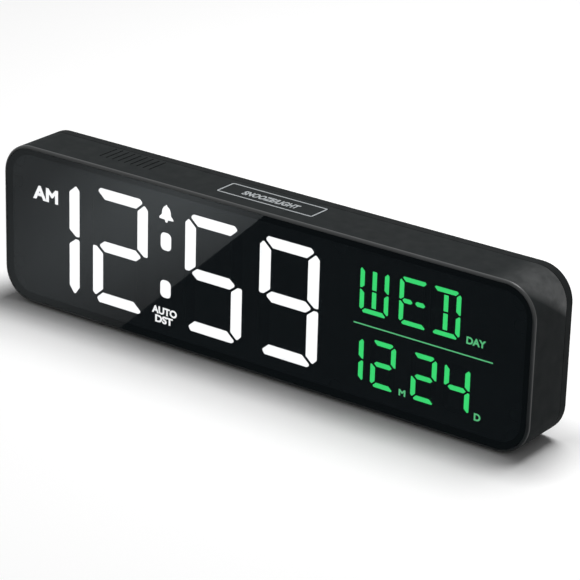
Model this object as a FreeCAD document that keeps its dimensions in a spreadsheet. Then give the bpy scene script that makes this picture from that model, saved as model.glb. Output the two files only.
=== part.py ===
"""Desk clock with a long smoked front window, a large time and a weekday and date display.

The clock stands on four feet at z = 0, with its front at -Y and X along its length. Sizes are millimetres.
"""

import FreeCAD, Part
import math
import os
import re

import Sketcher
from FreeCAD import Placement, Rotation, Vector

KEYS = ("set_key", "mode_key", "up_key", "down_key", "alarm_key")
CELL_COUNT = 3
CHIP_COUNT = 3
# columns and rows of the display, on which the figures are laid out from its middle and its lower edge
COLUMNS = 264
ROWS = 62
# a slot's end radius as a share of its width, just under half so that its sides keep their length
END_SHARE = 0.49
# the longest part of an edge that the softening of one corner may take
SOFT_SHARE = 0.45
# how far a middle bar's tips reach into the side strokes, as a share from a stroke's outer edge
NOTCH_SHARE = 0.44

# Driving sizes, one cell each

SIZES = {
    # outer form
    "body_width": 290,
    "body_height": 77.5,
    "body_depth": 30,
    "corner_radius": 15.5,
    "wall": 2.25,
    "front_round": 1.1,
    "back_round": 0.3,
    "seam_round": 0.3,
    "cover_depth": 4.8,
    "rear_panel": 2.25,
    "fit_gap": 0.15,
    "key_gap": 0.3,
    # front window
    "rim_width": 1.3,
    "lens_recess": 0.1,
    "lens_thickness": 1.5,
    "tape_thickness": 0.3,
    "tape_width": 3.1,
    "ledge_width": 2.5,
    "ledge_thickness": 1.5,
    # display block
    "field_inset": 10.75,
    "field_margin": 5.5,
    "reflector_depth": 6.5,
    "diffuser_recess": 0.3,
    "diffuser_thickness": 1,
    "diffuser_gap": 0.05,
    "board_end_gap": 1.75,
    "board_edge_gap": 2.5,
    "board_radius": 10,
    "board_thickness": 1.6,
    "led_length": 1.6,
    "led_width": 0.8,
    "led_thickness": 0.8,
    "chip_length": 12,
    "chip_width": 7,
    "chip_thickness": 1.6,
    "chip_pitch": 34,
    "chip_drop": 7,
    # big digits
    "digit_width": 32.5,
    "digit_height": 56.4,
    "digit_side": 6.3,
    "digit_bar": 5.35,
    "digit_break": 1.15,
    "digit_chamfer": 5,
    "digit_softening": 0.9,
    "digit_lean": 1,
    "digit_bottom": 2.6,
    "hour_tens_left": -132.7,
    "hour_ones_left": -92.4,
    "minute_tens_left": -38.7,
    "minute_ones_left": 2.9,
    "colon_left": -52.7,
    "colon_width": 6.3,
    "colon_dot_height": 8.7,
    "colon_radius": 2.4,
    "colon_low": 14.7,
    "colon_high": 37.7,
    "bell_centre": -49.4,
    "bell_bottom": 51.3,
    "bell_width": 8.3,
    "bell_height": 8.5,
    "bell_softening": 0.25,
    # weekday letters
    "letter_width": 15.1,
    "letter_height": 21.9,
    "letter_side": 2.5,
    "letter_bar": 2.25,
    "letter_break": 0.7,
    "letter_chamfer": 2.3,
    "letter_softening": 0.4,
    "letter_bottom": 36.4,
    "first_letter_left": 56.6,
    "second_letter_left": 76.9,
    "third_letter_left": 93,
    # date digits
    "date_width": 13.15,
    "date_height": 22.2,
    "date_side": 2.7,
    "date_bar": 2.45,
    "date_break": 0.8,
    "date_chamfer": 2.4,
    "date_bottom": 3.3,
    "month_tens_left": 46.75,
    "month_ones_left": 63.55,
    "day_tens_left": 84.55,
    "day_ones_left": 101.35,
    "divider_left": 53.9,
    "divider_width": 71.3,
    "divider_bottom": 30.5,
    "divider_height": 0.8,
    "divider_softening": 0.2,
    # screws and their posts
    "post_radius": 3.5,
    "post_inset": 8,
    "middle_post_x": 46,
    "middle_post_inset": 5.2,
    "rear_screw_radius": 1.25,
    "rear_screw_length": 9,
    "rear_head_radius": 2.4,
    "rear_head_height": 1.2,
    "small_screw_radius": 1,
    "small_screw_length": 4.5,
    "small_head_radius": 1.9,
    "small_head_height": 1.2,
    "head_recess": 1.5,
    "cross_length": 2.4,
    "cross_width": 0.6,
    "cross_depth": 0.7,
    "lip_length": 2,
    "lip_thickness": 1.2,
    "thread_gap": 0.04,
    "hole_gap": 0.2,
    "side_boss_radius": 2.75,
    "side_boss_inset": 7.8,
    "side_boss_height": 20,
    # feet
    "foot_radius": 4,
    "foot_height": 1,
    "foot_sink": 0.6,
    "foot_x": 88,
    "foot_front": 6.2,
    "foot_margin": 5.7,
    # speaker and its slots
    "speaker_inset": 63,
    "speaker_length": 34,
    "speaker_gap": 0.4,
    "speaker_rim": 1.4,
    "speaker_height": 3.6,
    "speaker_front": 10.8,
    "gasket_thickness": 0.5,
    "cone_thickness": 0.4,
    "cone_sink": 1.2,
    "magnet_length": 14,
    "magnet_inset": 2,
    "magnet_height": 2.6,
    "slot_count": 9,
    "slot_pitch": 3.6,
    "grille_slot_width": 0.7,
    "grille_slot_margin": 1.6,
    "grille_slot_front": 11.2,
    # snooze key
    "snooze_x": -1.4,
    "snooze_length": 53,
    "snooze_front": 8.7,
    "snooze_margin": 3.1,
    "snooze_radius": 1.6,
    "snooze_flange": 1,
    "snooze_flange_thickness": 1,
    "snooze_rest_gap": 0.1,
    "snooze_travel": 0.6,
    "snooze_stem_radius": 2,
    "snooze_stem_length": 1.4,
    "snooze_board_length": 74,
    "snooze_board_width": 9,
    "snooze_board_thickness": 1.2,
    "snooze_board_gap": 1.6,
    "snooze_post_radius": 2.6,
    "snooze_post_spread": 33,
    # tact switches
    "switch_side": 6,
    "switch_body": 3,
    "switch_button_radius": 1.7,
    "switch_button_height": 0.9,
    "switch_free_play": 0.15,
    # rear keys and their board
    "first_key_x": 14,
    "key_pitch": 13,
    "key_height": 50,
    "key_radius": 3,
    "key_flange": 1,
    "key_flange_thickness": 1,
    "key_proud": 0.9,
    "key_round": 0.5,
    "key_travel": 0.5,
    "key_rest_gap": 0.1,
    "tray_margin": 6,
    "tray_height": 11,
    "tray_depth": 1,
    "key_board_height": 13,
    "key_board_thickness": 1.2,
    "key_post_radius": 2.4,
    # power socket
    "socket_x": 90,
    "socket_width": 8.9,
    "socket_height": 3.2,
    "socket_length": 7.4,
    "socket_wall": 0.3,
    "socket_tongue_width": 6.7,
    "socket_tongue_height": 0.7,
    "socket_tongue_length": 5.6,
    # battery bay
    "bay_x": -52,
    "bay_height": 33,
    "cell_radius": 5.25,
    "cell_length": 43.7,
    "nub_radius": 1.9,
    "nub_length": 0.8,
    "cell_pitch": 11.1,
    "bay_wall": 2,
    "bay_floor": 1.2,
    "door_thickness": 1.7,
    "door_seat": 1.2,
    "tab_width": 6,
    "tab_length": 1,
    "tab_thickness": 0.8,
    "tab_lip": 0.6,
    "tab_spread": 15,
    "grip_count": 4,
    "grip_margin": 3.5,
    "grip_length": 14,
    "grip_width": 0.8,
    "grip_depth": 0.5,
    "grip_pitch": 1.8,
    "contact_width": 7,
    "contact_thickness": 0.4,
    "contact_bend": 0.1,
    "spring_reach": 5,
    # wall hanging
    "keyhole_x": 118,
    "keyhole_height": 52,
    "keyhole_radius": 4.2,
    "keyhole_slot_width": 4.4,
    "keyhole_slot_length": 9,
    # wires
    "wire_radius": 0.6,
    "wire_bend": 1.8,
    "wire_pitch": 1.8,
    "speaker_wire_drop": 9,
    "snooze_wire_drop": 7.2,
    "battery_wire_reach": 9,
    "ribbon_drop": 7.2,
    "ribbon_width": 12,
    "ribbon_thickness": 0.5,
}

# Places that follow from the sizes

PLACES = {
    "seam_depth": "body_depth - cover_depth",
    "middle": "foot_height + body_height / 2",
    "foot_back": "seam_depth - foot_margin",
    "front": "-body_depth / 2",
    "back": "body_depth / 2",
    "inner_width": "body_width - 2 * wall",
    "inner_height": "body_height - 2 * wall",
    "inner_radius": "corner_radius - wall",
    "plug_width": "inner_width - 2 * fit_gap",
    "plug_height": "inner_height - 2 * fit_gap",
    "plug_radius": "inner_radius - fit_gap",
    "window_width": "body_width - 2 * rim_width",
    "window_height": "body_height - 2 * rim_width",
    "window_radius": "corner_radius - rim_width",
    "lens_width": "window_width - 2 * fit_gap",
    "lens_height": "window_height - 2 * fit_gap",
    "lens_radius": "window_radius - fit_gap",
    "tape_depth": "lens_recess + lens_thickness",
    "ledge_depth": "tape_depth + tape_thickness",
    "ledge_inset": "ledge_width + key_gap",
    "reflector_width": "inner_width - 2 * ledge_inset",
    "reflector_height": "inner_height - 2 * ledge_inset",
    "reflector_radius": "inner_radius - ledge_inset",
    "field_width": "inner_width - 2 * field_inset",
    "field_height": "inner_height - 2 * field_margin",
    "board_width": "inner_width - 2 * board_end_gap",
    "board_height": "inner_height - 2 * board_edge_gap",
    "column": f"field_width / {COLUMNS}",
    "row": f"field_height / {ROWS}",
    "field_low": "middle - field_height / 2",
    "board_depth": "ledge_depth + reflector_depth",
    "board_back": "board_depth + board_thickness",
    "corner_post_x": "body_width / 2 - post_inset",
    "corner_post_z": "body_height / 2 - post_inset",
    "middle_post_z": "body_height / 2 - middle_post_inset",
    "side_boss_x": "body_width / 2 - side_boss_inset",
    "rear_pilot": "rear_screw_radius + thread_gap",
    "small_pilot": "small_screw_radius + thread_gap",
    "small_hole": "small_screw_radius + hole_gap",
    "panel_inside": "body_depth - rear_panel",
    "top_inside": "body_height / 2 - wall",
    "snooze_width": "seam_depth - snooze_front - snooze_margin",
    "snooze_centre": "snooze_front + snooze_width / 2",
    "snooze_board_centre": "board_back + snooze_board_gap + snooze_board_width / 2",
    "flange_top": "top_inside - snooze_rest_gap",
    "flange_bottom": "flange_top - snooze_flange_thickness",
    "snooze_stem_end": "flange_bottom - snooze_stem_length",
    "snooze_switch_top": "snooze_stem_end - snooze_travel - switch_free_play",
    "snooze_board_top": "snooze_switch_top - switch_button_height - switch_body",
    "snooze_key_length": "snooze_length - 2 * key_gap",
    "snooze_key_width": "snooze_width - 2 * key_gap",
    "key_z": "key_height - body_height / 2",
    "key_flange_back": "panel_inside - key_rest_gap",
    "key_stem_front": "key_flange_back - key_flange_thickness",
    "key_switch_top": "key_stem_front - key_travel - switch_free_play",
    "key_board_back": "key_switch_top - switch_button_height - switch_body",
    "key_board_front": "key_board_back - key_board_thickness",
    "last_key_x": f"first_key_x + {len(KEYS) - 1} * key_pitch",
    "key_board_left": "first_key_x - key_pitch",
    "key_board_right": "socket_x + key_pitch",
    "bay_z": "bay_height - body_height / 2",
    "bay_length": "cell_length + nub_length + spring_reach + contact_thickness + 2 * fit_gap",
    "bay_width": f"{CELL_COUNT} * cell_pitch + 2 * key_gap",
    "door_opening_length": "bay_length + 2 * door_seat",
    "door_opening_width": "bay_width + 2 * door_seat",
    "door_inside": "body_depth - door_thickness",
    "cell_depth": "door_inside - key_gap - cell_radius",
    "bay_bottom": "cell_depth - cell_radius - fit_gap",
    "door_edge": "bay_z - door_opening_width / 2 + key_gap",
    "tab_slot_depth": "door_thickness - tab_lip + 2 * key_gap",
    "keyhole_z": "keyhole_height - body_height / 2",
    "speaker_x": "speaker_inset - body_width / 2",
    "slot_field_left": "speaker_x - (slot_count - 1) * slot_pitch / 2",
    "speaker_top": "top_inside - gasket_thickness",
    "speaker_width": "seam_depth - lip_length - speaker_front - speaker_gap",
    "magnet_width": "speaker_width - 2 * magnet_inset",
    "grille_slot_length": "seam_depth - grille_slot_front - grille_slot_margin",
}

document = FreeCAD.newDocument("DayClock")
sheet = document.addObject("Spreadsheet::Sheet", "Sizes")
for row, (alias, size) in enumerate(SIZES.items(), start=1):
    sheet.set(f"A{row}", alias.replace("_", " "))
    sheet.set(f"B{row}", str(size))
    sheet.setAlias(f"B{row}", alias)
document.recompute()
places = document.addObject("App::VarSet", "Places")
nodes = {}


def formula(text):
    """The same formula with each name written as its cell or place."""

    def full_name(match):
        name = match.group(0)
        if name in SIZES:
            return f"Sizes.{name}"
        return f"Places.{name}" if name in PLACES else name

    return re.sub(r"[a-z][a-z_]*", full_name, str(text))


def link(thing, **formulas):
    """Binds properties to formulas. Two underscores stand for a dot in a property's path."""
    for path, text in formulas.items():
        thing.setExpression(path.replace("__", "."), formula(text))
    return thing


for place, text in PLACES.items():
    places.addProperty("App::PropertyFloat", place)
    link(places, **{place: text})
document.recompute()
worksheet = document.addObject("App::VarSet", "Worksheet")
worksheet.addProperty("App::PropertyFloat", "result")


def number(text):
    """What a formula comes to with the present sizes."""
    link(worksheet, result=text)
    worksheet.recompute()
    return worksheet.result


class Values:
    """Reads a size or a place as a number."""

    def __getattr__(self, name):
        return float(getattr(places, name) if name in PLACES else sheet.get(name))


value = Values()


def node(name, thing):
    """Makes a thing one sub-part of the clock under its own name."""
    thing.Label = name
    nodes[name] = thing
    return thing


# Primitives and booleans bound to the sizes

TURNS = {
    "x": Rotation(Vector(0, 1, 0), 90),
    "y": Rotation(Vector(1, 0, 0), -90),
    "z": Rotation(),
}


def seat(thing, x, y, z):
    """Places a thing at three formulas."""
    return link(thing, Placement__Base__x=x, Placement__Base__y=y, Placement__Base__z=z)


def box(name, x, y, z, length, width, height):
    """A box from its low corner."""
    thing = document.addObject("Part::Box", name)
    link(thing, Length=length, Width=width, Height=height)
    return seat(thing, x, y, z)


def centred_box(name, x, y, z, length, width, height):
    """A box centred in X and Z on a place, with its front face there."""
    return box(name, f"({x}) - ({length}) / 2", y, f"({z}) - ({height}) / 2", length, width, height)


def cylinder(name, axis, x, y, z, radius, height):
    """A cylinder that grows along an axis from the centre of its first face."""
    thing = document.addObject("Part::Cylinder", name)
    thing.Placement = Placement(Vector(), TURNS[axis])
    link(thing, Radius=radius, Height=height)
    return seat(thing, x, y, z)


def fuse(name, things):
    """One solid from several."""
    thing = document.addObject("Part::MultiFuse", name)
    thing.Shapes = things
    return thing


def cut(name, base, things):
    """A solid less others."""
    thing = document.addObject("Part::Cut", name)
    thing.Base = base
    thing.Tool = things[0] if len(things) == 1 else fuse(f"{name}_tools", things)
    return thing


def group(name, things):
    """Several like solids kept as one sub-part."""
    thing = document.addObject("Part::Compound", name)
    thing.Links = things
    return thing


# Bodies from sketches

FRONT_PLANE = "XZ_Plane"
FLAT_PLANE = "XY_Plane"


def new_body(name, depth="0"):
    """A body whose own origin lies on the clock's centre line, at a depth behind the front."""
    body = document.addObject("PartDesign::Body", name)
    seat(body, "0", f"front + {depth}", "middle")
    return node(name, body)


def new_sketch(body, name, plane=FRONT_PLANE, offset="0"):
    """A sketch on one of the body's planes, offset to +Y from the front one and to +Z from the flat one."""
    sketch = body.newObject("Sketcher::SketchObject", name)
    support = next(item for item in body.Origin.OriginFeatures if item.Role == plane)
    sketch.AttachmentSupport = (support, [""])
    sketch.MapMode = "FlatFace"
    side = f"-({offset})" if plane == FRONT_PLANE else offset
    link(sketch, AttachmentOffset__Base__z=side)
    return sketch


def fix(sketch, kind, items, text):
    """Adds one driving dimension and binds it to a formula."""
    index = sketch.addConstraint(Sketcher.Constraint(kind, *items, number(text)))
    name = f"size_{index}"
    sketch.renameConstraint(index, name)
    link(sketch, **{f"Constraints__{name}": text})


ORIGIN_POINT = (-1, 1)
CENTRE = 3
START = 1
END = 2


def draw_circle(sketch, x, z, radius):
    """A circle with its centre and radius bound to formulas."""
    centre = Vector(number(x), number(z), 0)
    index = sketch.addGeometry(Part.Circle(centre, Vector(0, 0, 1), number(radius)), False)
    fix(sketch, "DistanceX", (*ORIGIN_POINT, index, CENTRE), x)
    fix(sketch, "DistanceY", (*ORIGIN_POINT, index, CENTRE), z)
    fix(sketch, "Radius", (index,), radius)


def draw_rectangle(sketch, x, z, width, height):
    """A rectangle round a centre."""
    left, low = f"({x}) - ({width}) / 2", f"({z}) - ({height}) / 2"
    x0, z0 = number(left), number(low)
    x1, z1 = x0 + number(width), z0 + number(height)
    corners = [Vector(x0, z0, 0), Vector(x1, z0, 0), Vector(x1, z1, 0), Vector(x0, z1, 0)]
    first = sketch.GeometryCount
    for turn in range(4):
        sketch.addGeometry(Part.LineSegment(corners[turn], corners[(turn + 1) % 4]), False)
    for turn in range(4):
        this, following = first + turn, first + (turn + 1) % 4
        sketch.addConstraint(Sketcher.Constraint("Coincident", this, END, following, START))
        sketch.addConstraint(Sketcher.Constraint("Vertical" if turn % 2 else "Horizontal", this))
    fix(sketch, "DistanceX", (first, START, first, END), width)
    fix(sketch, "DistanceY", (first + 1, START, first + 1, END), height)
    fix(sketch, "DistanceX", (*ORIGIN_POINT, first, START), left)
    fix(sketch, "DistanceY", (*ORIGIN_POINT, first, START), low)


def draw_rounded(sketch, x, z, width, height, radius):
    """A rectangle with round corners round a centre."""
    bend = number(radius)
    right, low = f"({x}) + ({width}) / 2 - ({radius})", f"({z}) - ({height}) / 2 + ({radius})"
    run, rise = f"{width} - 2 * ({radius})", f"{height} - 2 * ({radius})"
    x1, z0 = number(right), number(low)
    x0, z1 = x1 - number(run), z0 + number(rise)
    centres = [Vector(x1, z0, 0), Vector(x1, z1, 0), Vector(x0, z1, 0), Vector(x0, z0, 0)]
    outward = [Vector(0, -bend, 0), Vector(bend, 0, 0), Vector(0, bend, 0), Vector(-bend, 0, 0)]
    first = sketch.GeometryCount
    for turn in range(4):
        line = Part.LineSegment(centres[turn - 1] + outward[turn], centres[turn] + outward[turn])
        sketch.addGeometry(line, False)
    for turn, centre in enumerate(centres):
        start = math.radians(90 * turn - 90)
        circle = Part.Circle(centre, Vector(0, 0, 1), bend)
        sketch.addGeometry(Part.ArcOfCircle(circle, start, start + math.pi / 2), False)
    for turn in range(4):
        line, arc = first + turn, first + 4 + turn
        following = first + (turn + 1) % 4
        sketch.addConstraint(Sketcher.Constraint("Tangent", line, END, arc, START))
        sketch.addConstraint(Sketcher.Constraint("Tangent", arc, END, following, START))
        if turn:
            sketch.addConstraint(Sketcher.Constraint("Equal", first + 4, arc))
    sketch.addConstraint(Sketcher.Constraint("Horizontal", first))
    sketch.addConstraint(Sketcher.Constraint("Vertical", first + 1))
    low_right, high_left = first + 4, first + 6
    fix(sketch, "Radius", (low_right,), radius)
    fix(sketch, "DistanceX", (high_left, CENTRE, low_right, CENTRE), run)
    fix(sketch, "DistanceY", (low_right, CENTRE, high_left, CENTRE), rise)
    fix(sketch, "DistanceX", (*ORIGIN_POINT, low_right, CENTRE), right)
    fix(sketch, "DistanceY", (*ORIGIN_POINT, low_right, CENTRE), low)


def draw_slot(sketch, x, z, width, height):
    """A slot with round ends round a centre."""
    draw_rounded(sketch, x, z, width, height, f"{END_SHARE} * min({width}; {height})")


def pad(body, sketch, length, forward=True):
    """Adds material from a sketch: forward is +Y from the front plane and +Z from the flat one."""
    feature = body.newObject("PartDesign::Pad", f"{sketch.Name}_pad")
    feature.Profile = sketch
    link(feature, Length=length)
    on_front = sketch.AttachmentSupport[0][0].Role == FRONT_PLANE
    feature.Reversed = forward if on_front else not forward
    return feature


def pocket(body, sketch, length, forward=True):
    """Takes material away from a sketch in the same directions as a pad adds it."""
    feature = body.newObject("PartDesign::Pocket", f"{sketch.Name}_pocket")
    feature.Profile = sketch
    link(feature, Length=length)
    on_front = sketch.AttachmentSupport[0][0].Role == FRONT_PLANE
    feature.Reversed = not forward if on_front else forward
    return feature


def round_edges(body, feature, depth, radius):
    """Rounds the edges that lie at one local depth."""
    document.recompute()
    names = []
    for index, edge in enumerate(feature.Shape.Edges, start=1):
        span = edge.BoundBox
        if abs(span.YMin - depth) < 0.001 and abs(span.YMax - depth) < 0.001:
            names.append(f"Edge{index}")
    fillet = body.newObject("PartDesign::Fillet", f"{feature.Name}_round")
    fillet.Base = (feature, names)
    link(fillet, Radius=radius)
    return fillet


SIDES = (-1, 1)
CORNERS = [(x, z) for x in SIDES for z in SIDES]


# Main housing: a rounded tube with the window's ledge, screw posts and the openings of the top

def make_housing():
    body = new_body("main_housing")
    outline = new_sketch(body, "housing_outline")
    draw_rounded(outline, "0", "0", "body_width", "body_height", "corner_radius")
    blank = round_edges(body, pad(body, outline, "seam_depth"), 0, "front_round")
    round_edges(body, blank, value.seam_depth, "seam_round")

    inside = new_sketch(body, "housing_inside")
    draw_rounded(inside, "0", "0", "inner_width", "inner_height", "inner_radius")
    pocket(body, inside, "seam_depth")

    window = new_sketch(body, "window_seat")
    draw_rounded(window, "0", "0", "window_width", "window_height", "window_radius")
    pocket(body, window, "ledge_depth")

    ledge = new_sketch(body, "housing_ledge", offset="ledge_depth")
    draw_rounded(ledge, "0", "0", "inner_width + wall", "inner_height + wall", "inner_radius + wall / 2")
    draw_rounded(
        ledge, "0", "0",
        "inner_width - 2 * ledge_width", "inner_height - 2 * ledge_width", "inner_radius - ledge_width",
    )
    pad(body, ledge, "ledge_thickness")

    posts = new_sketch(body, "housing_posts", offset="ledge_depth")
    for side, level in CORNERS:
        draw_circle(posts, f"{side} * corner_post_x", f"{level} * corner_post_z", "post_radius")
    for level in SIDES:
        draw_circle(posts, "middle_post_x", f"{level} * middle_post_z", "post_radius")
    pad(body, posts, "seam_depth - ledge_depth")

    pilots = new_sketch(body, "housing_pilots", offset="seam_depth")
    for side, level in CORNERS:
        draw_circle(pilots, f"{side} * corner_post_x", f"{level} * corner_post_z", "rear_pilot")
    for level in SIDES:
        draw_circle(pilots, "middle_post_x", f"{level} * middle_post_z", "rear_pilot")
    pocket(body, pilots, "rear_screw_length", forward=False)

    bosses = new_sketch(body, "housing_board_bosses", offset="ledge_depth")
    for side, level in CORNERS:
        reach = "(side_boss_inset - wall / 2)"
        draw_rectangle(
            bosses, f"{side} * (side_boss_x + {reach} / 2)", f"{level} * side_boss_height",
            reach, "2 * side_boss_radius",
        )
    pad(body, bosses, "reflector_depth")
    ends = new_sketch(body, "housing_boss_ends", offset="ledge_depth")
    for side, level in CORNERS:
        draw_circle(ends, f"{side} * side_boss_x", f"{level} * side_boss_height", "side_boss_radius")
    pad(body, ends, "reflector_depth")
    taps = new_sketch(body, "housing_boss_pilots", offset="board_depth")
    for side, level in CORNERS:
        draw_circle(taps, f"{side} * side_boss_x", f"{level} * side_boss_height", "small_pilot")
    pocket(body, taps, "small_screw_length", forward=False)

    opening = new_sketch(body, "snooze_opening", FLAT_PLANE, "body_height / 2")
    draw_rounded(opening, "snooze_x", "snooze_centre", "snooze_length", "snooze_width", "snooze_radius")
    pocket(body, opening, "wall + 1", forward=False)

    slot = new_sketch(body, "speaker_slot", FLAT_PLANE, "body_height / 2")
    slot_centre = "grille_slot_front + grille_slot_length / 2"
    draw_slot(slot, "slot_field_left", slot_centre, "grille_slot_width", "grille_slot_length")
    first_slot = pocket(body, slot, "wall + 1", forward=False)
    row = body.newObject("PartDesign::LinearPattern", "speaker_slots")
    row.Originals = [first_slot]
    row.Direction = (slot, ["H_Axis"])
    link(row, Length="(slot_count - 1) * slot_pitch", Occurrences="slot_count")
    body.Tip = row

    hangers = new_sketch(body, "snooze_board_posts", FLAT_PLANE, "snooze_board_top")
    for x in snooze_post_places():
        draw_circle(hangers, x, "snooze_board_centre", "snooze_post_radius")
    pad(body, hangers, "top_inside - snooze_board_top + wall / 2")
    threads = new_sketch(body, "snooze_board_pilots", FLAT_PLANE, "snooze_board_top")
    for x in snooze_post_places():
        draw_circle(threads, x, "snooze_board_centre", "small_pilot")
    pocket(body, threads, "small_screw_length")

    seats = new_sketch(body, "foot_recesses", FLAT_PLANE, "-body_height / 2")
    for side in SIDES:
        for row_depth in ("foot_front", "foot_back"):
            draw_circle(seats, f"{side} * foot_x", row_depth, "foot_radius + fit_gap")
    pocket(body, seats, "foot_sink")
    return body


# Window, its adhesive frame and the feet

def make_lens():
    body = new_body("front_lens", "lens_recess")
    outline = new_sketch(body, "lens_outline")
    draw_rounded(outline, "0", "0", "lens_width", "lens_height", "lens_radius")
    pad(body, outline, "lens_thickness")


def make_tape():
    body = new_body("lens_tape", "tape_depth")
    ring = new_sketch(body, "tape_ring")
    draw_rounded(ring, "0", "0", "lens_width", "lens_height", "lens_radius")
    draw_rounded(
        ring, "0", "0",
        "lens_width - 2 * tape_width", "lens_height - 2 * tape_width", "lens_radius - tape_width",
    )
    pad(body, ring, "tape_thickness")


def make_feet():
    body = new_body("rubber_feet")
    pads = new_sketch(body, "foot_pads", FLAT_PLANE, "-body_height / 2 - foot_height")
    for side in SIDES:
        for row_depth in ("foot_front", "foot_back"):
            draw_circle(pads, f"{side} * foot_x", row_depth, "foot_radius")
    pad(body, pads, "foot_height + foot_sink")


# Outlines of the lit shapes, as flat points in X and Z

def inset(points, distance):
    """A convex outline, given clockwise or not, moved inwards by a distance."""
    count = len(points)
    area = sum(a[0] * b[1] - b[0] * a[1] for a, b in zip(points, points[1:] + points[:1]))
    turn = 1 if area > 0 else -1
    lines = []
    for index in range(count):
        (ax, az), (bx, bz) = points[index], points[(index + 1) % count]
        length = math.hypot(bx - ax, bz - az)
        normal = (-turn * (bz - az) / length, turn * (bx - ax) / length)
        lines.append((normal, normal[0] * ax + normal[1] * az + distance))
    moved = []
    for index in range(count):
        (n1, d1), (n2, d2) = lines[index - 1], lines[index]
        cross = n1[0] * n2[1] - n1[1] * n2[0]
        moved.append(((d1 * n2[1] - d2 * n1[1]) / cross, (n1[0] * d2 - n2[0] * d1) / cross))
    return moved


def prism(points, start, length, radius):
    """A solid from a flat outline with softened corners, from one Y to another."""
    corners = [Vector(x, start, z) for x, z in points]
    edges = []
    ends = []
    for index, corner in enumerate(corners):
        before = corners[index - 1] - corner
        after = corners[(index + 1) % len(corners)] - corner
        half = before.getAngle(after) / 2
        room = SOFT_SHARE * min(before.Length, after.Length)
        setback = min(radius / math.tan(half), room)
        bend = setback * math.tan(half)
        first = corner + before.normalize() * setback
        last = corner + after.normalize() * setback
        inward = (before + after).normalize()
        middle = corner + inward * (bend / math.sin(half) - bend)
        ends.append((first, middle, last))
    for index, (first, middle, last) in enumerate(ends):
        edges.append(Part.Arc(first, middle, last).toShape())
        edges.append(Part.LineSegment(last, ends[(index + 1) % len(ends)][0]).toShape())
    return Part.Face(Part.Wire(edges)).extrude(Vector(0, length, 0))


def up(rows):
    """The height of a row of the display."""
    return value.field_low + rows * value.row


class Cell:
    """The place and strokes of one seven-segment figure, sized in columns and rows of the display."""

    def __init__(self, family, left):
        column, row = value.column, value.row
        width, height, side, bar, gap, chamfer, bottom = (
            getattr(value, f"{family}_{part}")
            for part in ("width", "height", "side", "bar", "break", "chamfer", "bottom")
        )
        self.gap = gap * column
        self.side = side * column + self.gap
        self.bar = bar * row + self.gap
        self.cut = chamfer * column
        self.notch = NOTCH_SHARE * self.side
        # the bottom bar of a big digit lies a little to the left, so its right end gives way to the stroke there
        self.lean = value.digit_lean * column if family == "digit" else 0
        half = self.gap / 2
        self.x0, self.x1 = left * column - half, (left + width) * column + half
        self.z0, self.z1 = up(bottom) - half, up(bottom + height) + half
        self.centre = (self.x0 + self.x1) / 2
        self.middle = (self.z0 + self.z1) / 2

    def segments(self):
        """The outline of each segment by its usual letter, a to g, clockwise from the top."""
        x0, x1, z0, z1 = self.x0, self.x1, self.z0, self.z1
        side, bar, corner, middle, notch = self.side, self.bar, self.cut, self.middle, self.notch
        share = corner / (side + bar)
        dx, dz = side * share, bar * share
        lean, fall = self.lean, self.lean * bar / side
        low_left = (x0 + dx - lean / 2, z0 + dz + fall / 2)
        low_right = (x1 - dx - lean / 2, z0 + dz - fall / 2)
        shapes = {
            "a": [(x0 + corner, z1), (x1 - corner, z1), (x1 - dx, z1 - dz), (x1 - side, z1 - bar),
                  (x0 + side, z1 - bar), (x0 + dx, z1 - dz)],
            "b": [(x1, z1 - corner), (x1, middle), (x1 - notch, middle), (x1 - side, middle + bar / 2),
                  (x1 - side, z1 - bar), (x1 - dx, z1 - dz)],
            "c": [(x1, middle), (x1, z0 + corner), low_right, (x1 - side, z0 + bar - fall),
                  (x1 - side, middle - bar / 2), (x1 - notch, middle)],
            "d": [(x0 + corner - lean, z0), (x1 - corner - lean, z0), low_right,
                  (x1 - side - lean, z0 + bar), (x0 + side - lean, z0 + bar), low_left],
            "e": [(x0, middle), (x0, z0 + corner), low_left, (x0 + side, z0 + bar + fall),
                  (x0 + side, middle - bar / 2), (x0 + notch, middle)],
            "f": [(x0, z1 - corner), (x0, middle), (x0 + notch, middle), (x0 + side, middle + bar / 2),
                  (x0 + side, z1 - bar), (x0 + dx, z1 - dz)],
            "g": [(x0 + notch, middle), (x0 + side, middle + bar / 2), (x1 - side, middle + bar / 2),
                  (x1 - notch, middle), (x1 - side, middle - bar / 2), (x0 + side, middle - bar / 2)],
        }
        return {letter: inset(points, self.gap / 2) for letter, points in shapes.items()}

    def pointed_stroke(self):
        """The lower right segment of a figure that is never more than a one, with its point on the lower edge."""
        left, right, low = self.x1 - self.side, self.x1, self.z0 - self.gap / 2
        points = [
            (right, self.middle), (right, low + self.cut), ((left + right) / 2, low), (left, low + self.cut),
            (left, self.middle - self.bar / 2), (right - self.notch, self.middle),
        ]
        return inset(points, self.gap / 2)

    def centre_strokes(self, rise):
        """The two upright strokes on the centre line, reaching up past the top bar's edge by a rise."""
        left, right = self.centre - self.side / 2, self.centre + self.side / 2
        top, bottom = self.z1 - self.bar + rise, self.z0 + self.bar
        upper = [(left, self.middle), (left, top), (right, top), (right, self.middle)]
        lower = [(left, bottom), (left, self.middle), (right, self.middle), (right, bottom)]
        return [inset(upper, self.gap / 2), inset(lower, self.gap / 2)]

    def half_bars(self):
        """The middle bar as two dashes."""
        half = self.bar / 2
        tips = (self.x0 + self.notch, self.centre, self.x1 - self.notch)
        dashes = []
        for left, right in zip(tips, tips[1:]):
            dashes.append([
                (left, self.middle), (left + half, self.middle + half), (right - half, self.middle + half),
                (right, self.middle), (right - half, self.middle - half), (left + half, self.middle - half),
            ])
        return [inset(points, self.gap / 2) for points in dashes]


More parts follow.
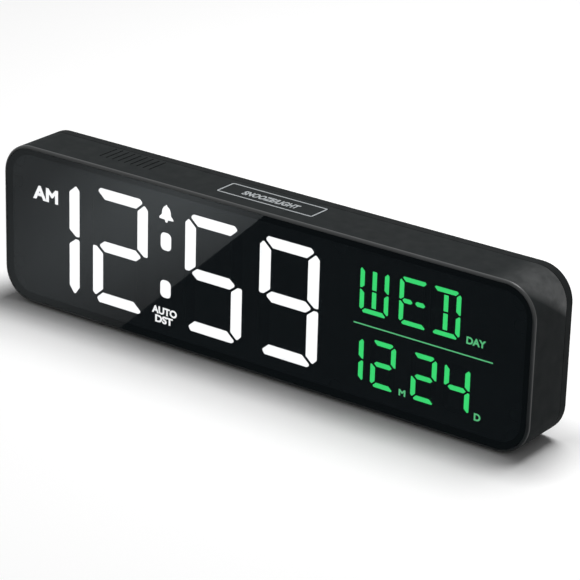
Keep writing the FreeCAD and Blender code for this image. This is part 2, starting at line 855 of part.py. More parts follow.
def rectangle(left, bottom, width, height):
    """Outline of a rectangle from its lower left corner, in columns and rows of the display."""
    x0, x1 = left * value.column, (left + width) * value.column
    z0, z1 = up(bottom), up(bottom + height)
    return [(x0, z0), (x1, z0), (x1, z1), (x0, z1)]


def lit_shapes():
    """Outlines of the lit white, lit green and dark shapes, each with its corner softening."""
    white, green, dark = [], [], []

    def figure(family, left, lit, unlit, colour, soft):
        shapes = Cell(family, left).segments()
        colour.extend((shapes[letter], soft) for letter in lit)
        dark.extend((shapes[letter], soft) for letter in unlit)

    for left, lit, unlit in (
        (value.hour_tens_left, "b", ""),
        (value.hour_ones_left, "abged", "fc"),
        (value.minute_tens_left, "afgcd", "be"),
        (value.minute_ones_left, "abcdfg", "e"),
    ):
        figure("digit", left, lit, unlit, white, value.digit_softening)
    white.append((Cell("digit", value.hour_tens_left).pointed_stroke(), value.digit_softening))
    for bottom in (value.colon_low, value.colon_high):
        dot = rectangle(value.colon_left, bottom, value.colon_width, value.colon_dot_height)
        white.append((dot, value.colon_radius))

    for left, lit, unlit in (
        (value.month_tens_left, "bc", ""),
        (value.month_ones_left, "abged", "fc"),
        (value.day_tens_left, "abged", "fc"),
        (value.day_ones_left, "fgbc", "ade"),
    ):
        figure("date", left, lit, unlit, green, value.letter_softening)

    letters = (
        (value.first_letter_left, "fedcb", "", value.letter_bar / 2),
        (value.second_letter_left, "afed", "bc", None),
        (value.third_letter_left, "abcd", "ef", 0),
    )
    soft = value.letter_softening
    for left, lit, unlit, rise in letters:
        figure("letter", left, lit, unlit, green, soft)
        cell = Cell("letter", left)
        strokes = cell.half_bars() if rise is None else cell.centre_strokes(rise * value.row)
        green.extend((points, soft) for points in strokes)
    return white, green, dark


# right half of the bell from its clapper up to its knob, as shares of half its width and of its height
BELL_PROFILE = (
    (0.16, 0), (0.22, 0.14), (1, 0.16), (0.98, 0.26), (0.66, 0.42),
    (0.6, 0.66), (0.42, 0.84), (0.14, 0.92), (0.1, 1),
)


def bell_outline():
    """Outline of the bell: dome, flared rim and clapper."""
    centre, low = value.bell_centre * value.column, up(value.bell_bottom)
    half, height = value.bell_width * value.column / 2, value.bell_height * value.row
    right = [(centre + x * half, low + z * height) for x, z in BELL_PROFILE]
    left = [(centre - x * half, low + z * height) for x, z in reversed(BELL_PROFILE)]
    return right + left


def feature(name, shape):
    """A sub-part whose shape is worked out here from the sizes."""
    thing = document.addObject("Part::Feature", name)
    thing.Shape = shape
    return node(name, thing)


def block_clearances(face):
    """What the reflector block leaves free round the screw posts and the board bosses."""
    depth, along = value.reflector_depth, Vector(0, 1, 0)
    clear = value.post_radius + value.key_gap
    solids = [
        Part.makeCylinder(clear, depth, Vector(number(x), face, number(f"middle + {z}")), along)
        for x, z in post_places()
    ]
    clear = value.side_boss_radius + value.key_gap
    reach = value.side_boss_inset
    for side, level in CORNERS:
        x, z = side * value.side_boss_x, value.middle + level * value.side_boss_height
        solids.append(Part.makeCylinder(clear, depth, Vector(x, face, z), along))
        solids.append(Part.makeBox(reach, depth, 2 * clear, Vector(min(x, x + side * reach), face, z - clear)))
    return solids


def make_display():
    """The reflector block with its wells, the diffusers in them and one lamp behind each."""
    white, green, dark = lit_shapes()
    face = value.front + value.ledge_depth
    bell = (bell_outline(), value.bell_softening)
    line_points = rectangle(
        value.divider_left, value.divider_bottom, value.divider_width, value.divider_height
    )
    line = (line_points, value.divider_softening)
    wells = []
    for points, soft in white + green + dark + [bell, line]:
        wells.append(prism(points, face, value.reflector_depth, soft))

    block = Part.makeBox(
        value.reflector_width, value.reflector_depth, value.reflector_height,
        Vector(-value.reflector_width / 2, face, value.middle - value.reflector_height / 2),
    )
    upright = [edge for edge in block.Edges if abs(edge.tangentAt(0).y) > 0.9]
    block = block.makeFillet(value.reflector_radius, upright)
    feature("display_reflector", block.cut(wells + block_clearances(face)))

    seat_depth = face + value.diffuser_recess

    def diffusers(shapes):
        solids = []
        for points, soft in shapes:
            smaller = inset(points, value.diffuser_gap)
            solids.append(prism(smaller, seat_depth, value.diffuser_thickness, soft))
        return Part.makeCompound(solids)

    feature("time_segments", diffusers(white))
    feature("calendar_segments", diffusers(green))
    feature("dark_segments", diffusers(dark))
    feature("divider_window", diffusers([line]).Solids[0])
    feature("bell_window", prism(bell[0], seat_depth, value.diffuser_thickness, bell[1]))

    lamps = []
    size = Vector(value.led_length, value.led_thickness, value.led_width)
    board_face = value.front + value.board_depth
    for well in wells:
        middle = well.CenterOfMass
        corner = Vector(middle.x - size.x / 2, board_face - size.y, middle.z - size.z / 2)
        lamps.append(Part.makeBox(size.x, size.y, size.z, corner))
    feature("display_leds", Part.makeCompound(lamps))


def make_display_board():
    body = new_body("display_board", "board_depth")
    outline = new_sketch(body, "board_outline")
    draw_rounded(outline, "0", "0", "board_width", "board_height", "board_radius")
    pad(body, outline, "board_thickness")
    holes = new_sketch(body, "board_holes")
    for side, level in CORNERS:
        draw_circle(holes, f"{side} * side_boss_x", f"{level} * side_boss_height", "small_hole")
    pocket(body, holes, "board_thickness")
    notches = new_sketch(body, "board_notches")
    for side, level in CORNERS:
        draw_circle(notches, f"{side} * corner_post_x", f"{level} * corner_post_z", "post_radius + key_gap")
    for level in SIDES:
        draw_circle(notches, "middle_post_x", f"{level} * middle_post_z", "post_radius + key_gap")
    pocket(body, notches, "board_thickness")

    chips = []
    for index in range(CHIP_COUNT):
        step = index - (CHIP_COUNT - 1) / 2
        chip = centred_box(
            f"chip_{index}", f"{step} * chip_pitch", "front + board_back", "middle - chip_drop",
            "chip_length", "chip_thickness", "chip_width",
        )
        chips.append(chip)
    node("clock_chips", group("chip_group", chips))


# Screws: a cross recessed round head on a shank, driven along one way

WAYS = {
    "forward": Rotation(Vector(1, 0, 0), 90),
    "backward": Rotation(Vector(1, 0, 0), -90),
    "up": Rotation(),
}


def screw(name, size, way, x, y, z):
    """A screw with the underside of its head at a place and its shank along a way."""
    head_low = f"-{size}_head_height"
    shank = cylinder(f"{name}_shank", "z", "0", "0", "0", f"{size}_screw_radius", f"{size}_screw_length")
    head = cylinder(f"{name}_head", "z", "0", "0", head_low, f"{size}_head_radius", f"{size}_head_height")
    arms = [
        box(f"{name}_arm_{wide}", f"-{wide} / 2", f"-{deep} / 2", head_low, wide, deep, "cross_depth")
        for wide, deep in (("cross_length", "cross_width"), ("cross_width", "cross_length"))
    ]
    whole = cut(name, fuse(f"{name}_blank", [shank, head]), arms)
    whole.Placement = Placement(Vector(), WAYS[way])
    return seat(whole, x, y, z)


def post_places():
    """The six rear posts as formulas for X and for the height over the middle."""
    corners = [(f"{side} * corner_post_x", f"{level} * corner_post_z") for side, level in CORNERS]
    return corners + [("middle_post_x", f"{level} * middle_post_z") for level in SIDES]


def snooze_post_places():
    """The two posts of the snooze board as formulas for X."""
    return [f"snooze_x + {side} * snooze_post_spread" for side in SIDES]


def key_post_places():
    """The three posts of the key board as formulas for X."""
    ends = ("key_board_left + key_post_radius", "key_board_right - key_post_radius")
    return [ends[0], "(last_key_x + socket_x) / 2", ends[1]]


def make_screws():
    rear = [
        screw(f"rear_screw_{index}", "rear", "forward", x, "back - head_recess", f"middle + {z}")
        for index, (x, z) in enumerate(post_places())
    ]
    node("rear_screws", group("rear_screw_group", rear))
    board = [
        screw(
            f"board_screw_{index}", "small", "forward",
            f"{side} * side_boss_x", "front + board_back", f"middle + {level} * side_boss_height",
        )
        for index, (side, level) in enumerate(CORNERS)
    ]
    node("board_screws", group("board_screw_group", board))
    snooze = [
        screw(
            f"snooze_screw_{index}", "small", "up",
            x, "front + snooze_board_centre", "middle + snooze_board_top - snooze_board_thickness",
        )
        for index, x in enumerate(snooze_post_places())
    ]
    node("snooze_board_screws", group("snooze_screw_group", snooze))
    keys = [
        screw(f"key_screw_{index}", "small", "backward", x, "front + key_board_front", "middle + key_z")
        for index, x in enumerate(key_post_places())
    ]
    node("key_board_screws", group("key_screw_group", keys))


# Rear cover: shallow shell with a lip that enters the housing, battery bay, key tray and hanging slots

def make_rear_cover():
    body = new_body("rear_cover", "seam_depth")
    outline = new_sketch(body, "cover_outline")
    draw_rounded(outline, "0", "0", "body_width", "body_height", "corner_radius")
    blank = round_edges(body, pad(body, outline, "cover_depth"), value.cover_depth, "back_round")
    round_edges(body, blank, 0, "seam_round")

    lip = new_sketch(body, "cover_lip")
    draw_rounded(lip, "0", "0", "plug_width", "plug_height", "plug_radius")
    pad(body, lip, "lip_length", forward=False)
    inside = new_sketch(body, "cover_inside", offset="-lip_length")
    draw_rounded(
        inside, "0", "0",
        "plug_width - 2 * lip_thickness", "plug_height - 2 * lip_thickness", "plug_radius - lip_thickness",
    )
    pocket(body, inside, "lip_length + cover_depth - rear_panel")
    clear = new_sketch(body, "lip_notches", offset="-lip_length")
    for x, z in post_places():
        draw_circle(clear, x, z, "post_radius + key_gap")
    pocket(body, clear, "lip_length")

    bosses = new_sketch(body, "cover_bosses")
    for x, z in post_places():
        draw_circle(bosses, x, z, "post_radius")
    pad(body, bosses, "cover_depth - rear_panel / 2")
    holes = new_sketch(body, "cover_screw_holes", offset="cover_depth")
    for x, z in post_places():
        draw_circle(holes, x, z, "rear_screw_radius + hole_gap")
    pocket(body, holes, "cover_depth", forward=False)
    heads = new_sketch(body, "cover_head_recesses", offset="cover_depth")
    for x, z in post_places():
        draw_circle(heads, x, z, "rear_head_radius + hole_gap")
    pocket(body, heads, "head_recess", forward=False)

    tray = new_sketch(body, "key_tray", offset="cover_depth")
    tray_length = "last_key_x - first_key_x + 2 * tray_margin"
    draw_slot(tray, "(first_key_x + last_key_x) / 2", "key_z", tray_length, "tray_height")
    pocket(body, tray, "tray_depth", forward=False)
    first_hole = new_sketch(body, "key_hole", offset="cover_depth")
    draw_circle(first_hole, "first_key_x", "key_z", "key_radius + key_gap")
    hole = pocket(body, first_hole, "2 * rear_panel", forward=False)
    row = body.newObject("PartDesign::LinearPattern", "key_holes")
    row.Originals = [hole]
    row.Direction = (first_hole, ["H_Axis"])
    row.Occurrences = len(KEYS)
    link(row, Length="last_key_x - first_key_x")
    body.Tip = row

    port = new_sketch(body, "socket_hole", offset="cover_depth")
    draw_slot(port, "socket_x", "key_z", "socket_width + 2 * key_gap", "socket_height + 2 * key_gap")
    pocket(body, port, "2 * rear_panel", forward=False)

    posts = new_sketch(body, "key_board_posts", offset="key_board_back - seam_depth")
    for x in key_post_places():
        draw_circle(posts, x, "key_z", "key_post_radius")
    pad(body, posts, "panel_inside - key_board_back + (rear_panel - tray_depth) / 2")
    threads = new_sketch(body, "key_board_pilots", offset="key_board_back - seam_depth")
    for x in key_post_places():
        draw_circle(threads, x, "key_z", "small_pilot")
    pocket(body, threads, "small_screw_length")

    walls = new_sketch(body, "bay_walls", offset="bay_bottom - bay_floor - seam_depth")
    draw_rectangle(walls, "bay_x", "bay_z", "bay_length + 2 * bay_wall", "bay_width + 2 * bay_wall")
    pad(body, walls, "panel_inside - bay_bottom + bay_floor + rear_panel / 2")
    mouth = new_sketch(body, "bay_mouth", offset="cover_depth")
    draw_rectangle(mouth, "bay_x", "bay_z", "door_opening_length", "door_opening_width")
    pocket(body, mouth, "door_thickness", forward=False)
    room = new_sketch(body, "bay_room", offset="cover_depth")
    draw_rectangle(room, "bay_x", "bay_z", "bay_length", "bay_width")
    pocket(body, room, "body_depth - bay_bottom", forward=False)
    catches = new_sketch(body, "door_tab_slots", offset="cover_depth - tab_lip")
    for side in SIDES:
        draw_rectangle(
            catches, f"bay_x + {side} * tab_spread", "door_edge - key_gap + (door_seat - tab_length) / 2",
            "tab_width + 2 * key_gap", "door_seat + tab_length",
        )
    pocket(body, catches, "tab_slot_depth", forward=False)

    hangers = new_sketch(body, "keyhole_entries", offset="cover_depth")
    for side in SIDES:
        draw_circle(hangers, f"{side} * keyhole_x", "keyhole_z", "keyhole_radius")
    pocket(body, hangers, "2 * rear_panel", forward=False)
    slots = new_sketch(body, "keyhole_slots", offset="cover_depth")
    for side in SIDES:
        draw_slot(
            slots, f"{side} * keyhole_x", "keyhole_z + keyhole_slot_length / 2",
            "keyhole_slot_width", "keyhole_slot_length + keyhole_slot_width",
        )
    pocket(body, slots, "2 * rear_panel", forward=False)


# Snooze key, its board and switch

def make_snooze():
    body = new_body("snooze_key")
    plate = new_sketch(body, "snooze_plate", FLAT_PLANE, "flange_top")
    draw_rounded(
        plate, "snooze_x", "snooze_centre",
        "snooze_key_length", "snooze_key_width", "snooze_radius - key_gap",
    )
    pad(body, plate, "body_height / 2 - flange_top")
    flange = new_sketch(body, "snooze_flange_outline", FLAT_PLANE, "flange_bottom")
    draw_rounded(
        flange, "snooze_x", "snooze_centre",
        "snooze_length + 2 * snooze_flange", "snooze_width + 2 * snooze_flange", "snooze_radius",
    )
    pad(body, flange, "snooze_flange_thickness")
    stem = new_sketch(body, "snooze_stem", FLAT_PLANE, "snooze_stem_end")
    draw_circle(stem, "snooze_x", "snooze_centre", "snooze_stem_radius")
    pad(body, stem, "snooze_stem_length")

    board = new_body("snooze_board")
    board_low = "snooze_board_top - snooze_board_thickness"
    outline = new_sketch(board, "snooze_board_outline", FLAT_PLANE, board_low)
    draw_rectangle(outline, "snooze_x", "snooze_board_centre", "snooze_board_length", "snooze_board_width")
    pad(board, outline, "snooze_board_thickness")
    holes = new_sketch(board, "snooze_board_holes", FLAT_PLANE, "snooze_board_top")
    for x in snooze_post_places():
        draw_circle(holes, x, "snooze_board_centre", "small_hole")
    pocket(board, holes, "snooze_board_thickness", forward=False)

    case = box(
        "snooze_switch_case", "snooze_x - switch_side / 2", "front + snooze_centre - switch_side / 2",
        "middle + snooze_board_top", "switch_side", "switch_side", "switch_body",
    )
    button = cylinder(
        "snooze_switch_button", "z", "snooze_x", "front + snooze_centre",
        "middle + snooze_board_top + switch_body", "switch_button_radius", "switch_button_height",
    )
    node("snooze_switch", fuse("snooze_switch_whole", [case, button]))


# Speaker under the slots

def make_speaker():
    centre = "speaker_front + speaker_width / 2"
    opening = ("speaker_length - 2 * speaker_rim", "speaker_width - 2 * speaker_rim")

    gasket = new_body("speaker_gasket")
    ring = new_sketch(gasket, "gasket_ring", FLAT_PLANE, "speaker_top")
    draw_slot(ring, "speaker_x", centre, "speaker_length", "speaker_width")
    draw_slot(ring, "speaker_x", centre, *opening)
    pad(gasket, ring, "gasket_thickness")

    frame = new_body("speaker_frame")
    outline = new_sketch(frame, "speaker_outline", FLAT_PLANE, "speaker_top - speaker_height")
    draw_slot(outline, "speaker_x", centre, "speaker_length", "speaker_width")
    pad(frame, outline, "speaker_height")
    hollow = new_sketch(frame, "speaker_hollow", FLAT_PLANE, "speaker_top")
    draw_slot(hollow, "speaker_x", centre, *opening)
    pocket(frame, hollow, "speaker_height - 2 * cone_thickness", forward=False)

    cone = new_body("speaker_cone")
    skin = new_sketch(cone, "cone_skin", FLAT_PLANE, "speaker_top - cone_sink - cone_thickness")
    draw_slot(skin, "speaker_x", centre, *(f"{side} - 2 * fit_gap" for side in opening))
    pad(cone, skin, "cone_thickness")
    coil_low = "speaker_top - speaker_height + 2 * cone_thickness + fit_gap"
    coil = new_sketch(cone, "voice_coil", FLAT_PLANE, coil_low)
    draw_slot(coil, "speaker_x", centre, "magnet_length - 4 * fit_gap", "magnet_width - 4 * fit_gap")
    pad(cone, coil, "speaker_height - 3 * cone_thickness - cone_sink")

    magnet = new_body("speaker_magnet")
    slab = new_sketch(magnet, "magnet_outline", FLAT_PLANE, "speaker_top - speaker_height - magnet_height")
    draw_slot(slab, "speaker_x", centre, "magnet_length", "magnet_width")
    pad(magnet, slab, "magnet_height")


# Rear keys, their board, switches and the power socket

def make_keys():
    switches = []
    for index, name in enumerate(KEYS):
        x = f"first_key_x + {index} * key_pitch"
        key = new_body(name, "key_stem_front")
        link(key, Placement__Base__x=x, Placement__Base__z="middle + key_z")
        flange = new_sketch(key, f"{name}_flange")
        draw_circle(flange, "0", "0", "key_radius + key_flange")
        pad(key, flange, "key_flange_thickness")
        stem = new_sketch(key, f"{name}_stem")
        draw_circle(stem, "0", "0", "key_radius")
        length = "body_depth - tray_depth + key_proud - key_stem_front"
        cap = pad(key, stem, length)
        round_edges(key, cap, number(length), "key_round")

        case = centred_box(
            f"{name}_switch_case", x, "front + key_board_back", "middle + key_z",
            "switch_side", "switch_body", "switch_side",
        )
        button = cylinder(
            f"{name}_switch_button", "y", x, "front + key_board_back + switch_body", "middle + key_z",
            "switch_button_radius", "switch_button_height",
        )
        switches.append(fuse(f"{name}_switch", [case, button]))
    node("key_switches", group("key_switch_group", switches))

    board = new_body("key_board", "key_board_front")
    outline = new_sketch(board, "key_board_outline")
    draw_rectangle(
        outline, "(key_board_left + key_board_right) / 2", "key_z",
        "key_board_right - key_board_left", "key_board_height",
    )
    pad(board, outline, "key_board_thickness")
    holes = new_sketch(board, "key_board_holes")
    for x in key_post_places():
        draw_circle(holes, x, "key_z", "small_hole")
    pocket(board, holes, "key_board_thickness")

    shell = new_body("power_socket_shell", "key_board_back")
    ring = new_sketch(shell, "socket_ring")
    draw_slot(ring, "socket_x", "key_z", "socket_width", "socket_height")
    draw_slot(ring, "socket_x", "key_z", "socket_width - 2 * socket_wall", "socket_height - 2 * socket_wall")
    pad(shell, ring, "socket_length")
    tongue = centred_box(
        "socket_tongue", "socket_x", "front + key_board_back", "middle + key_z",
        "socket_tongue_width", "socket_tongue_length", "socket_tongue_height",
    )
    node("power_socket_tongue", tongue)


# Battery cells, their contacts and the door

def make_battery():
    cells, contacts = [], []
    depth = "front + cell_depth"
    for index in range(CELL_COUNT):
        height = f"middle + bay_z + ({index} - {(CELL_COUNT - 1) / 2}) * cell_pitch"
        way = -1 if index % 2 else 1
        wall = f"bay_x - {way} * bay_length / 2"
        far_wall = f"bay_x + {way} * bay_length / 2"
        flat_end = f"{wall} + {way} * (spring_reach + fit_gap)"
        step_end = f"{flat_end} + {way} * cell_length"
        low_end = flat_end if way > 0 else step_end
        can = cylinder(f"cell_{index}_can", "x", low_end, depth, height, "cell_radius", "cell_length")
        nub_start = step_end if way > 0 else f"{step_end} - nub_length"
        nub = cylinder(f"cell_{index}_nub", "x", nub_start, depth, height, "nub_radius", "nub_length")
        cells.append(fuse(f"cell_{index}", [can, nub]))
        plate_left = f"{far_wall} - contact_thickness" if way > 0 else far_wall
        contacts.append(box(
            f"contact_plate_{index}",
            plate_left, f"{depth} - contact_width / 2", f"{height} - contact_width / 2",
            "contact_thickness", "contact_width", "contact_width",
        ))
    node("battery_cells", group("cell_group", cells))
    node("battery_plates", group("plate_group", contacts))

    leaves = []
    for index in range(CELL_COUNT):
        way = -1 if index % 2 else 1
        wall = value.bay_x - way * value.bay_length / 2
        height = value.middle + value.bay_z + (index - (CELL_COUNT - 1) / 2) * value.cell_pitch
        near = value.front + value.cell_depth - value.contact_width / 2
        half = value.contact_width / 2
        outer = [(wall, height - half), (wall + way * value.spring_reach, height), (wall, height + half)]
        leaf = prism(outer, near, value.contact_width, value.contact_thickness)
        inner = prism(inset(outer, value.contact_thickness), near, value.contact_width, value.contact_bend)
        leaves.append(leaf.cut(inner))
    feature("battery_springs", Part.makeCompound(leaves))

    door = new_body("battery_door", "door_inside")
    outline = new_sketch(door, "door_outline")
    draw_rectangle(
        outline, "bay_x", "bay_z", "door_opening_length - 2 * key_gap", "door_opening_width - 2 * key_gap"
    )
    pad(door, outline, "door_thickness")
    tabs = new_sketch(door, "door_tabs")
    for side in SIDES:
        draw_rectangle(
            tabs, f"bay_x + {side} * tab_spread", "door_edge - tab_length / 2", "tab_width", "tab_length",
        )
    pad(door, tabs, "tab_thickness")
    grip = new_sketch(door, "door_grip", offset="door_thickness")
    draw_slot(grip, "bay_x", "bay_z + door_opening_width / 2 - grip_margin", "grip_length", "grip_width")
    groove = pocket(door, grip, "grip_depth", forward=False)
    row = door.newObject("PartDesign::LinearPattern", "door_grips")
    row.Originals = [groove]
    row.Direction = (grip, ["V_Axis"])
    row.Reversed = True
    link(row, Length="(grip_count - 1) * grip_pitch", Occurrences="grip_count")
    door.Tip = row


# Wires and the ribbon, straight runs joined by arcs

def route(points, bend):
    """A path through points with an arc at each turn."""
    places_on_path = [Vector(*point) for point in points]
    edges = []
    last = places_on_path[0]
    for before, corner, after in zip(places_on_path, places_on_path[1:], places_on_path[2:]):
        back, onward = (before - corner).normalize(), (after - corner).normalize()
        half = back.getAngle(onward) / 2
        setback = bend / math.tan(half)
        middle = corner + (back + onward).normalize() * (bend / math.sin(half) - bend)
        edges.append(Part.LineSegment(last, corner + back * setback).toShape())
        last = corner + onward * setback
        edges.append(Part.Arc(corner + back * setback, middle, last).toShape())
    edges.append(Part.LineSegment(last, places_on_path[-1]).toShape())
    return Part.Wire(edges)


def wire(points, bend):
    """A round wire along a route."""
    path = route(points, bend)
    direction = Vector(*points[1]) - Vector(*points[0])
    ring = Part.Wire(Part.makeCircle(value.wire_radius, Vector(*points[0]), direction))
    return path.makePipeShell([ring], True, False)


def make_wires():
    board = value.front + value.board_back
    bend = value.wire_bend

    top = value.middle + value.speaker_top - value.speaker_height
    back = value.front + value.speaker_front + value.speaker_rim
    low = top - value.speaker_wire_drop
    ends = []
    for index in range(2):
        x = value.speaker_x + value.speaker_length / 4 + index * value.wire_pitch
        ends.append(wire([(x, board, low), (x, back, low), (x, back, top)], bend))
    feature("speaker_wires", Part.makeCompound(ends))

    top = value.middle + value.snooze_board_top - value.snooze_board_thickness
    back = value.front + value.snooze_board_centre
    low = top - value.snooze_wire_drop
    ends = []
    for index in range(2):
        x = value.snooze_x - value.snooze_length / 4 - index * value.wire_pitch
        ends.append(wire([(x, board, low), (x, back, low), (x, back, top)], bend))
    feature("snooze_wires", Part.makeCompound(ends))

    side = value.bay_x - value.bay_length / 2 - value.bay_wall
    start = side - value.battery_wire_reach
    depth = value.front + value.bay_bottom + value.cell_radius
    ends = []
    for index in range(2):
        z = value.middle + value.bay_z + (index - 0.5) * value.cell_pitch
        ends.append(wire([(start, board, z), (start, depth, z), (side, depth, z)], bend))
    feature("battery_wires", Part.makeCompound(ends))

    x = value.first_key_x + 1.5 * value.key_pitch
    key_face = value.front + value.key_board_front
    between = (board + key_face) / 2
    high = value.middle + value.key_z
    low = high - value.ribbon_drop
    path = route([(x, board, low), (x, between, low), (x, between, high), (x, key_face, high)], bend)
    half, thin = value.ribbon_width / 2, value.ribbon_thickness / 2
    corners = [(-half, -thin), (half, -thin), (half, thin), (-half, thin), (-half, -thin)]
    ring = Part.makePolygon([Vector(x + across, board, low + up) for across, up in corners])
    feature("board_ribbon", path.makePipeShell([ring], True, False))


# Build, test and write

for make in (
    make_housing, make_lens, make_tape, make_display, make_display_board, make_feet, make_rear_cover,
    make_snooze, make_speaker, make_keys, make_battery, make_screws, make_wires,
):
    make()
document.recompute()

for thing in document.Objects:
    if {"Invalid", "Error"} & set(thing.State):
        raise RuntimeError(f"{thing.Name} could not be worked out: {thing.State}")
os.makedirs("parts", exist_ok=True)
for name, thing in nodes.items():
    shape = thing.Shape
    if shape.isNull() or not shape.isValid() or not shape.Solids:
        raise RuntimeError(f"{name} has no sound solid")
    shape.exportStep(f"parts/{name}.step")
    print(f"{name:22} solids {len(shape.Solids):3} volume {shape.Volume:9.1f} {shape.BoundBox}")
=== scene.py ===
"""Looks of a long desk clock with a smoked front window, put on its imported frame."""

import math

import bmesh
import bpy
from bpy.props import FloatProperty, FloatVectorProperty
from mathutils import Matrix, Vector


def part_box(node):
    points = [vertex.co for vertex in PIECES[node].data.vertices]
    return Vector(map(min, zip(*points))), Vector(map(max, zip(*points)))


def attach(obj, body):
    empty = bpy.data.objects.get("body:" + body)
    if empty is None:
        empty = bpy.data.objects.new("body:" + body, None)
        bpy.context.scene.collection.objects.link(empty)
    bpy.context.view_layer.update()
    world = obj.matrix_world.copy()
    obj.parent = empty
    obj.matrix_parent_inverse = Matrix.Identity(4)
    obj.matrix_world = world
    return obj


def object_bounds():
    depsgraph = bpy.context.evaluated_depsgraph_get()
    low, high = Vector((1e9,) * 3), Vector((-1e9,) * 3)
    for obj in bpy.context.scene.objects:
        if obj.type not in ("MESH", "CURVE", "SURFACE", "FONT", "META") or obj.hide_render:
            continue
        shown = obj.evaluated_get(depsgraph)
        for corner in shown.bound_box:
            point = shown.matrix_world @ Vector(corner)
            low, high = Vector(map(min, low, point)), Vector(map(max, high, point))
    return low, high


bl_info = {
    "name": "Desk clock looks",
    "version": (1, 0, 0),
    "blender": (4, 5, 0),
    "location": "3D View > Sidebar > Clock",
    "description": "Finishes, printed words and stage of a long desk clock",
    "category": "Object",
}

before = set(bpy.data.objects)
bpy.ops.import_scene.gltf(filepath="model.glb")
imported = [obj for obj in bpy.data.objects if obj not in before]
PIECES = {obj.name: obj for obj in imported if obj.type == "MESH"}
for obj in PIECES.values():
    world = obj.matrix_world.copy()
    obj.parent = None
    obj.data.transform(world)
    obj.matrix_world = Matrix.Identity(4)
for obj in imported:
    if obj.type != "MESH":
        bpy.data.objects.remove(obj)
FRAME_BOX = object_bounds()
MM = 0.001
KEY_WORDS = {"set_key": "SET", "mode_key": "MODE", "up_key": "UP", "down_key": "DOWN", "alarm_key": "ALARM"}


# Sizes and colours that a user may change

def colour(name, description, default):
    return FloatVectorProperty(
        name=name, description=description, subtype="COLOR", size=3, min=0, max=1, default=default
    )


def length(name, description, default):
    return FloatProperty(
        name=name, description=description, subtype="DISTANCE", unit="LENGTH", precision=5, min=0, default=default
    )


def share(name, description, default, top=1.0):
    return FloatProperty(name=name, description=description, subtype="FACTOR", min=0, max=top, default=default)


class ShellLook(bpy.types.PropertyGroup):
    """Finish of the moulded housing, cover, door and keys."""

    housing_colour: colour("Housing", "Colour of the housing and the snooze key", (0.0095, 0.0118, 0.0123))
    cover_colour: colour("Cover", "Colour of the rear cover and the battery door", (0.0065, 0.0080, 0.0085))
    key_colour: colour("Keys", "Colour of the rubber keys", (0.045, 0.046, 0.048))
    grain_size: length("Grain size", "Size of the moulded grain", 0.0004)
    grain_depth: length("Grain depth", "Depth of the moulded grain", 0.00002)
    roughness: share("Roughness", "Roughness of the moulded grain", 0.95)
    shine: share("Shine", "Strength of the plastic's reflection", 0.20)
    rim_depth: length("Rim depth", "Depth of the polished rim round the window", 0.0011)
    rim_polish: share("Rim polish", "Polish of the rim round the window", 0.9)
    # Corner sheen is the strength of a painted highlight: a glossy patch laid on the upper right corner, not wear from
    # hands
    corner_sheen: share("Corner polish", "Polish where hands have rubbed a corner smooth", 0.9)
    polish_roughness: share("Polish roughness", "Roughness of the polished places", 0.35)


class WindowLook(bpy.types.PropertyGroup):
    """Finish of the smoked window and of what shines behind it."""

    tint: colour("Window tint", "Light that the smoked window lets through", (0.34, 0.345, 0.35))
    white_light: colour("Time colour", "Colour of the lit time", (1.0, 1.0, 1.0))
    green_light: colour("Calendar colour", "Colour of the lit weekday and date", (0.040, 0.660, 0.160))
    pale_green_light: colour("Line colour", "Colour of the line and the small green words", (0.095, 0.470, 0.190))
    brightness: FloatProperty(
        name="Brightness", description="Strength of the light behind the window", min=0, max=20, default=3.2
    )


class PrintLook(bpy.types.PropertyGroup):
    """Printed marks on the shell."""

    ink_colour: colour("Ink", "Colour of the printed marks", (0.400, 0.425, 0.440))
    ink_thickness: length("Ink thickness", "Thickness of a printed mark", 0.00002)
    outline_width: length("Outline width", "Width of the line round the snooze field", 0.0008)


class StageLook(bpy.types.PropertyGroup):
    """Floor, lamps and camera."""

    floor_colour: colour("Floor", "Colour of the floor", (0.83, 0.83, 0.83))
    # The glow is weaker near the clock, which paints part of the shadow round its foot; the lamps cast the rest
    glow_near: share("Glow near", "Glow of the floor at the clock, which only the camera and gloss see", 0.0)
    glow_far: share("Glow far", "Glow of the floor away from the clock, which only the camera and gloss see", 0.36)
    glow_reach: length("Glow reach", "Distance from the clock at which the floor's glow is full", 0.024)
    sky_light: share("Sky light", "Strength of the even light from all round", 0.15, 5.0)
    lamp_power: FloatProperty(
        name="Lamp power", description="Power of the overhead lamp", subtype="POWER", unit="POWER",
        min=0, default=11.5,
    )
    focal_length: FloatProperty(
        name="Focal length", description="Focal length of the camera", subtype="DISTANCE_CAMERA", unit="CAMERA",
        min=1, default=172.15,
    )


LOOKS = {"clock_shell": ShellLook, "clock_window": WindowLook, "clock_print": PrintLook, "clock_stage": StageLook}


# Node materials

def combine(tree, operation, first, second=0.0):
    """One value from two by an operation. The second may be a number."""
    node = tree.nodes.new("ShaderNodeMath")
    node.operation = operation
    tree.links.new(first, node.inputs[0])
    if isinstance(second, bpy.types.NodeSocket):
        tree.links.new(second, node.inputs[1])
    else:
        node.inputs[1].default_value = second
    return node.outputs["Value"]


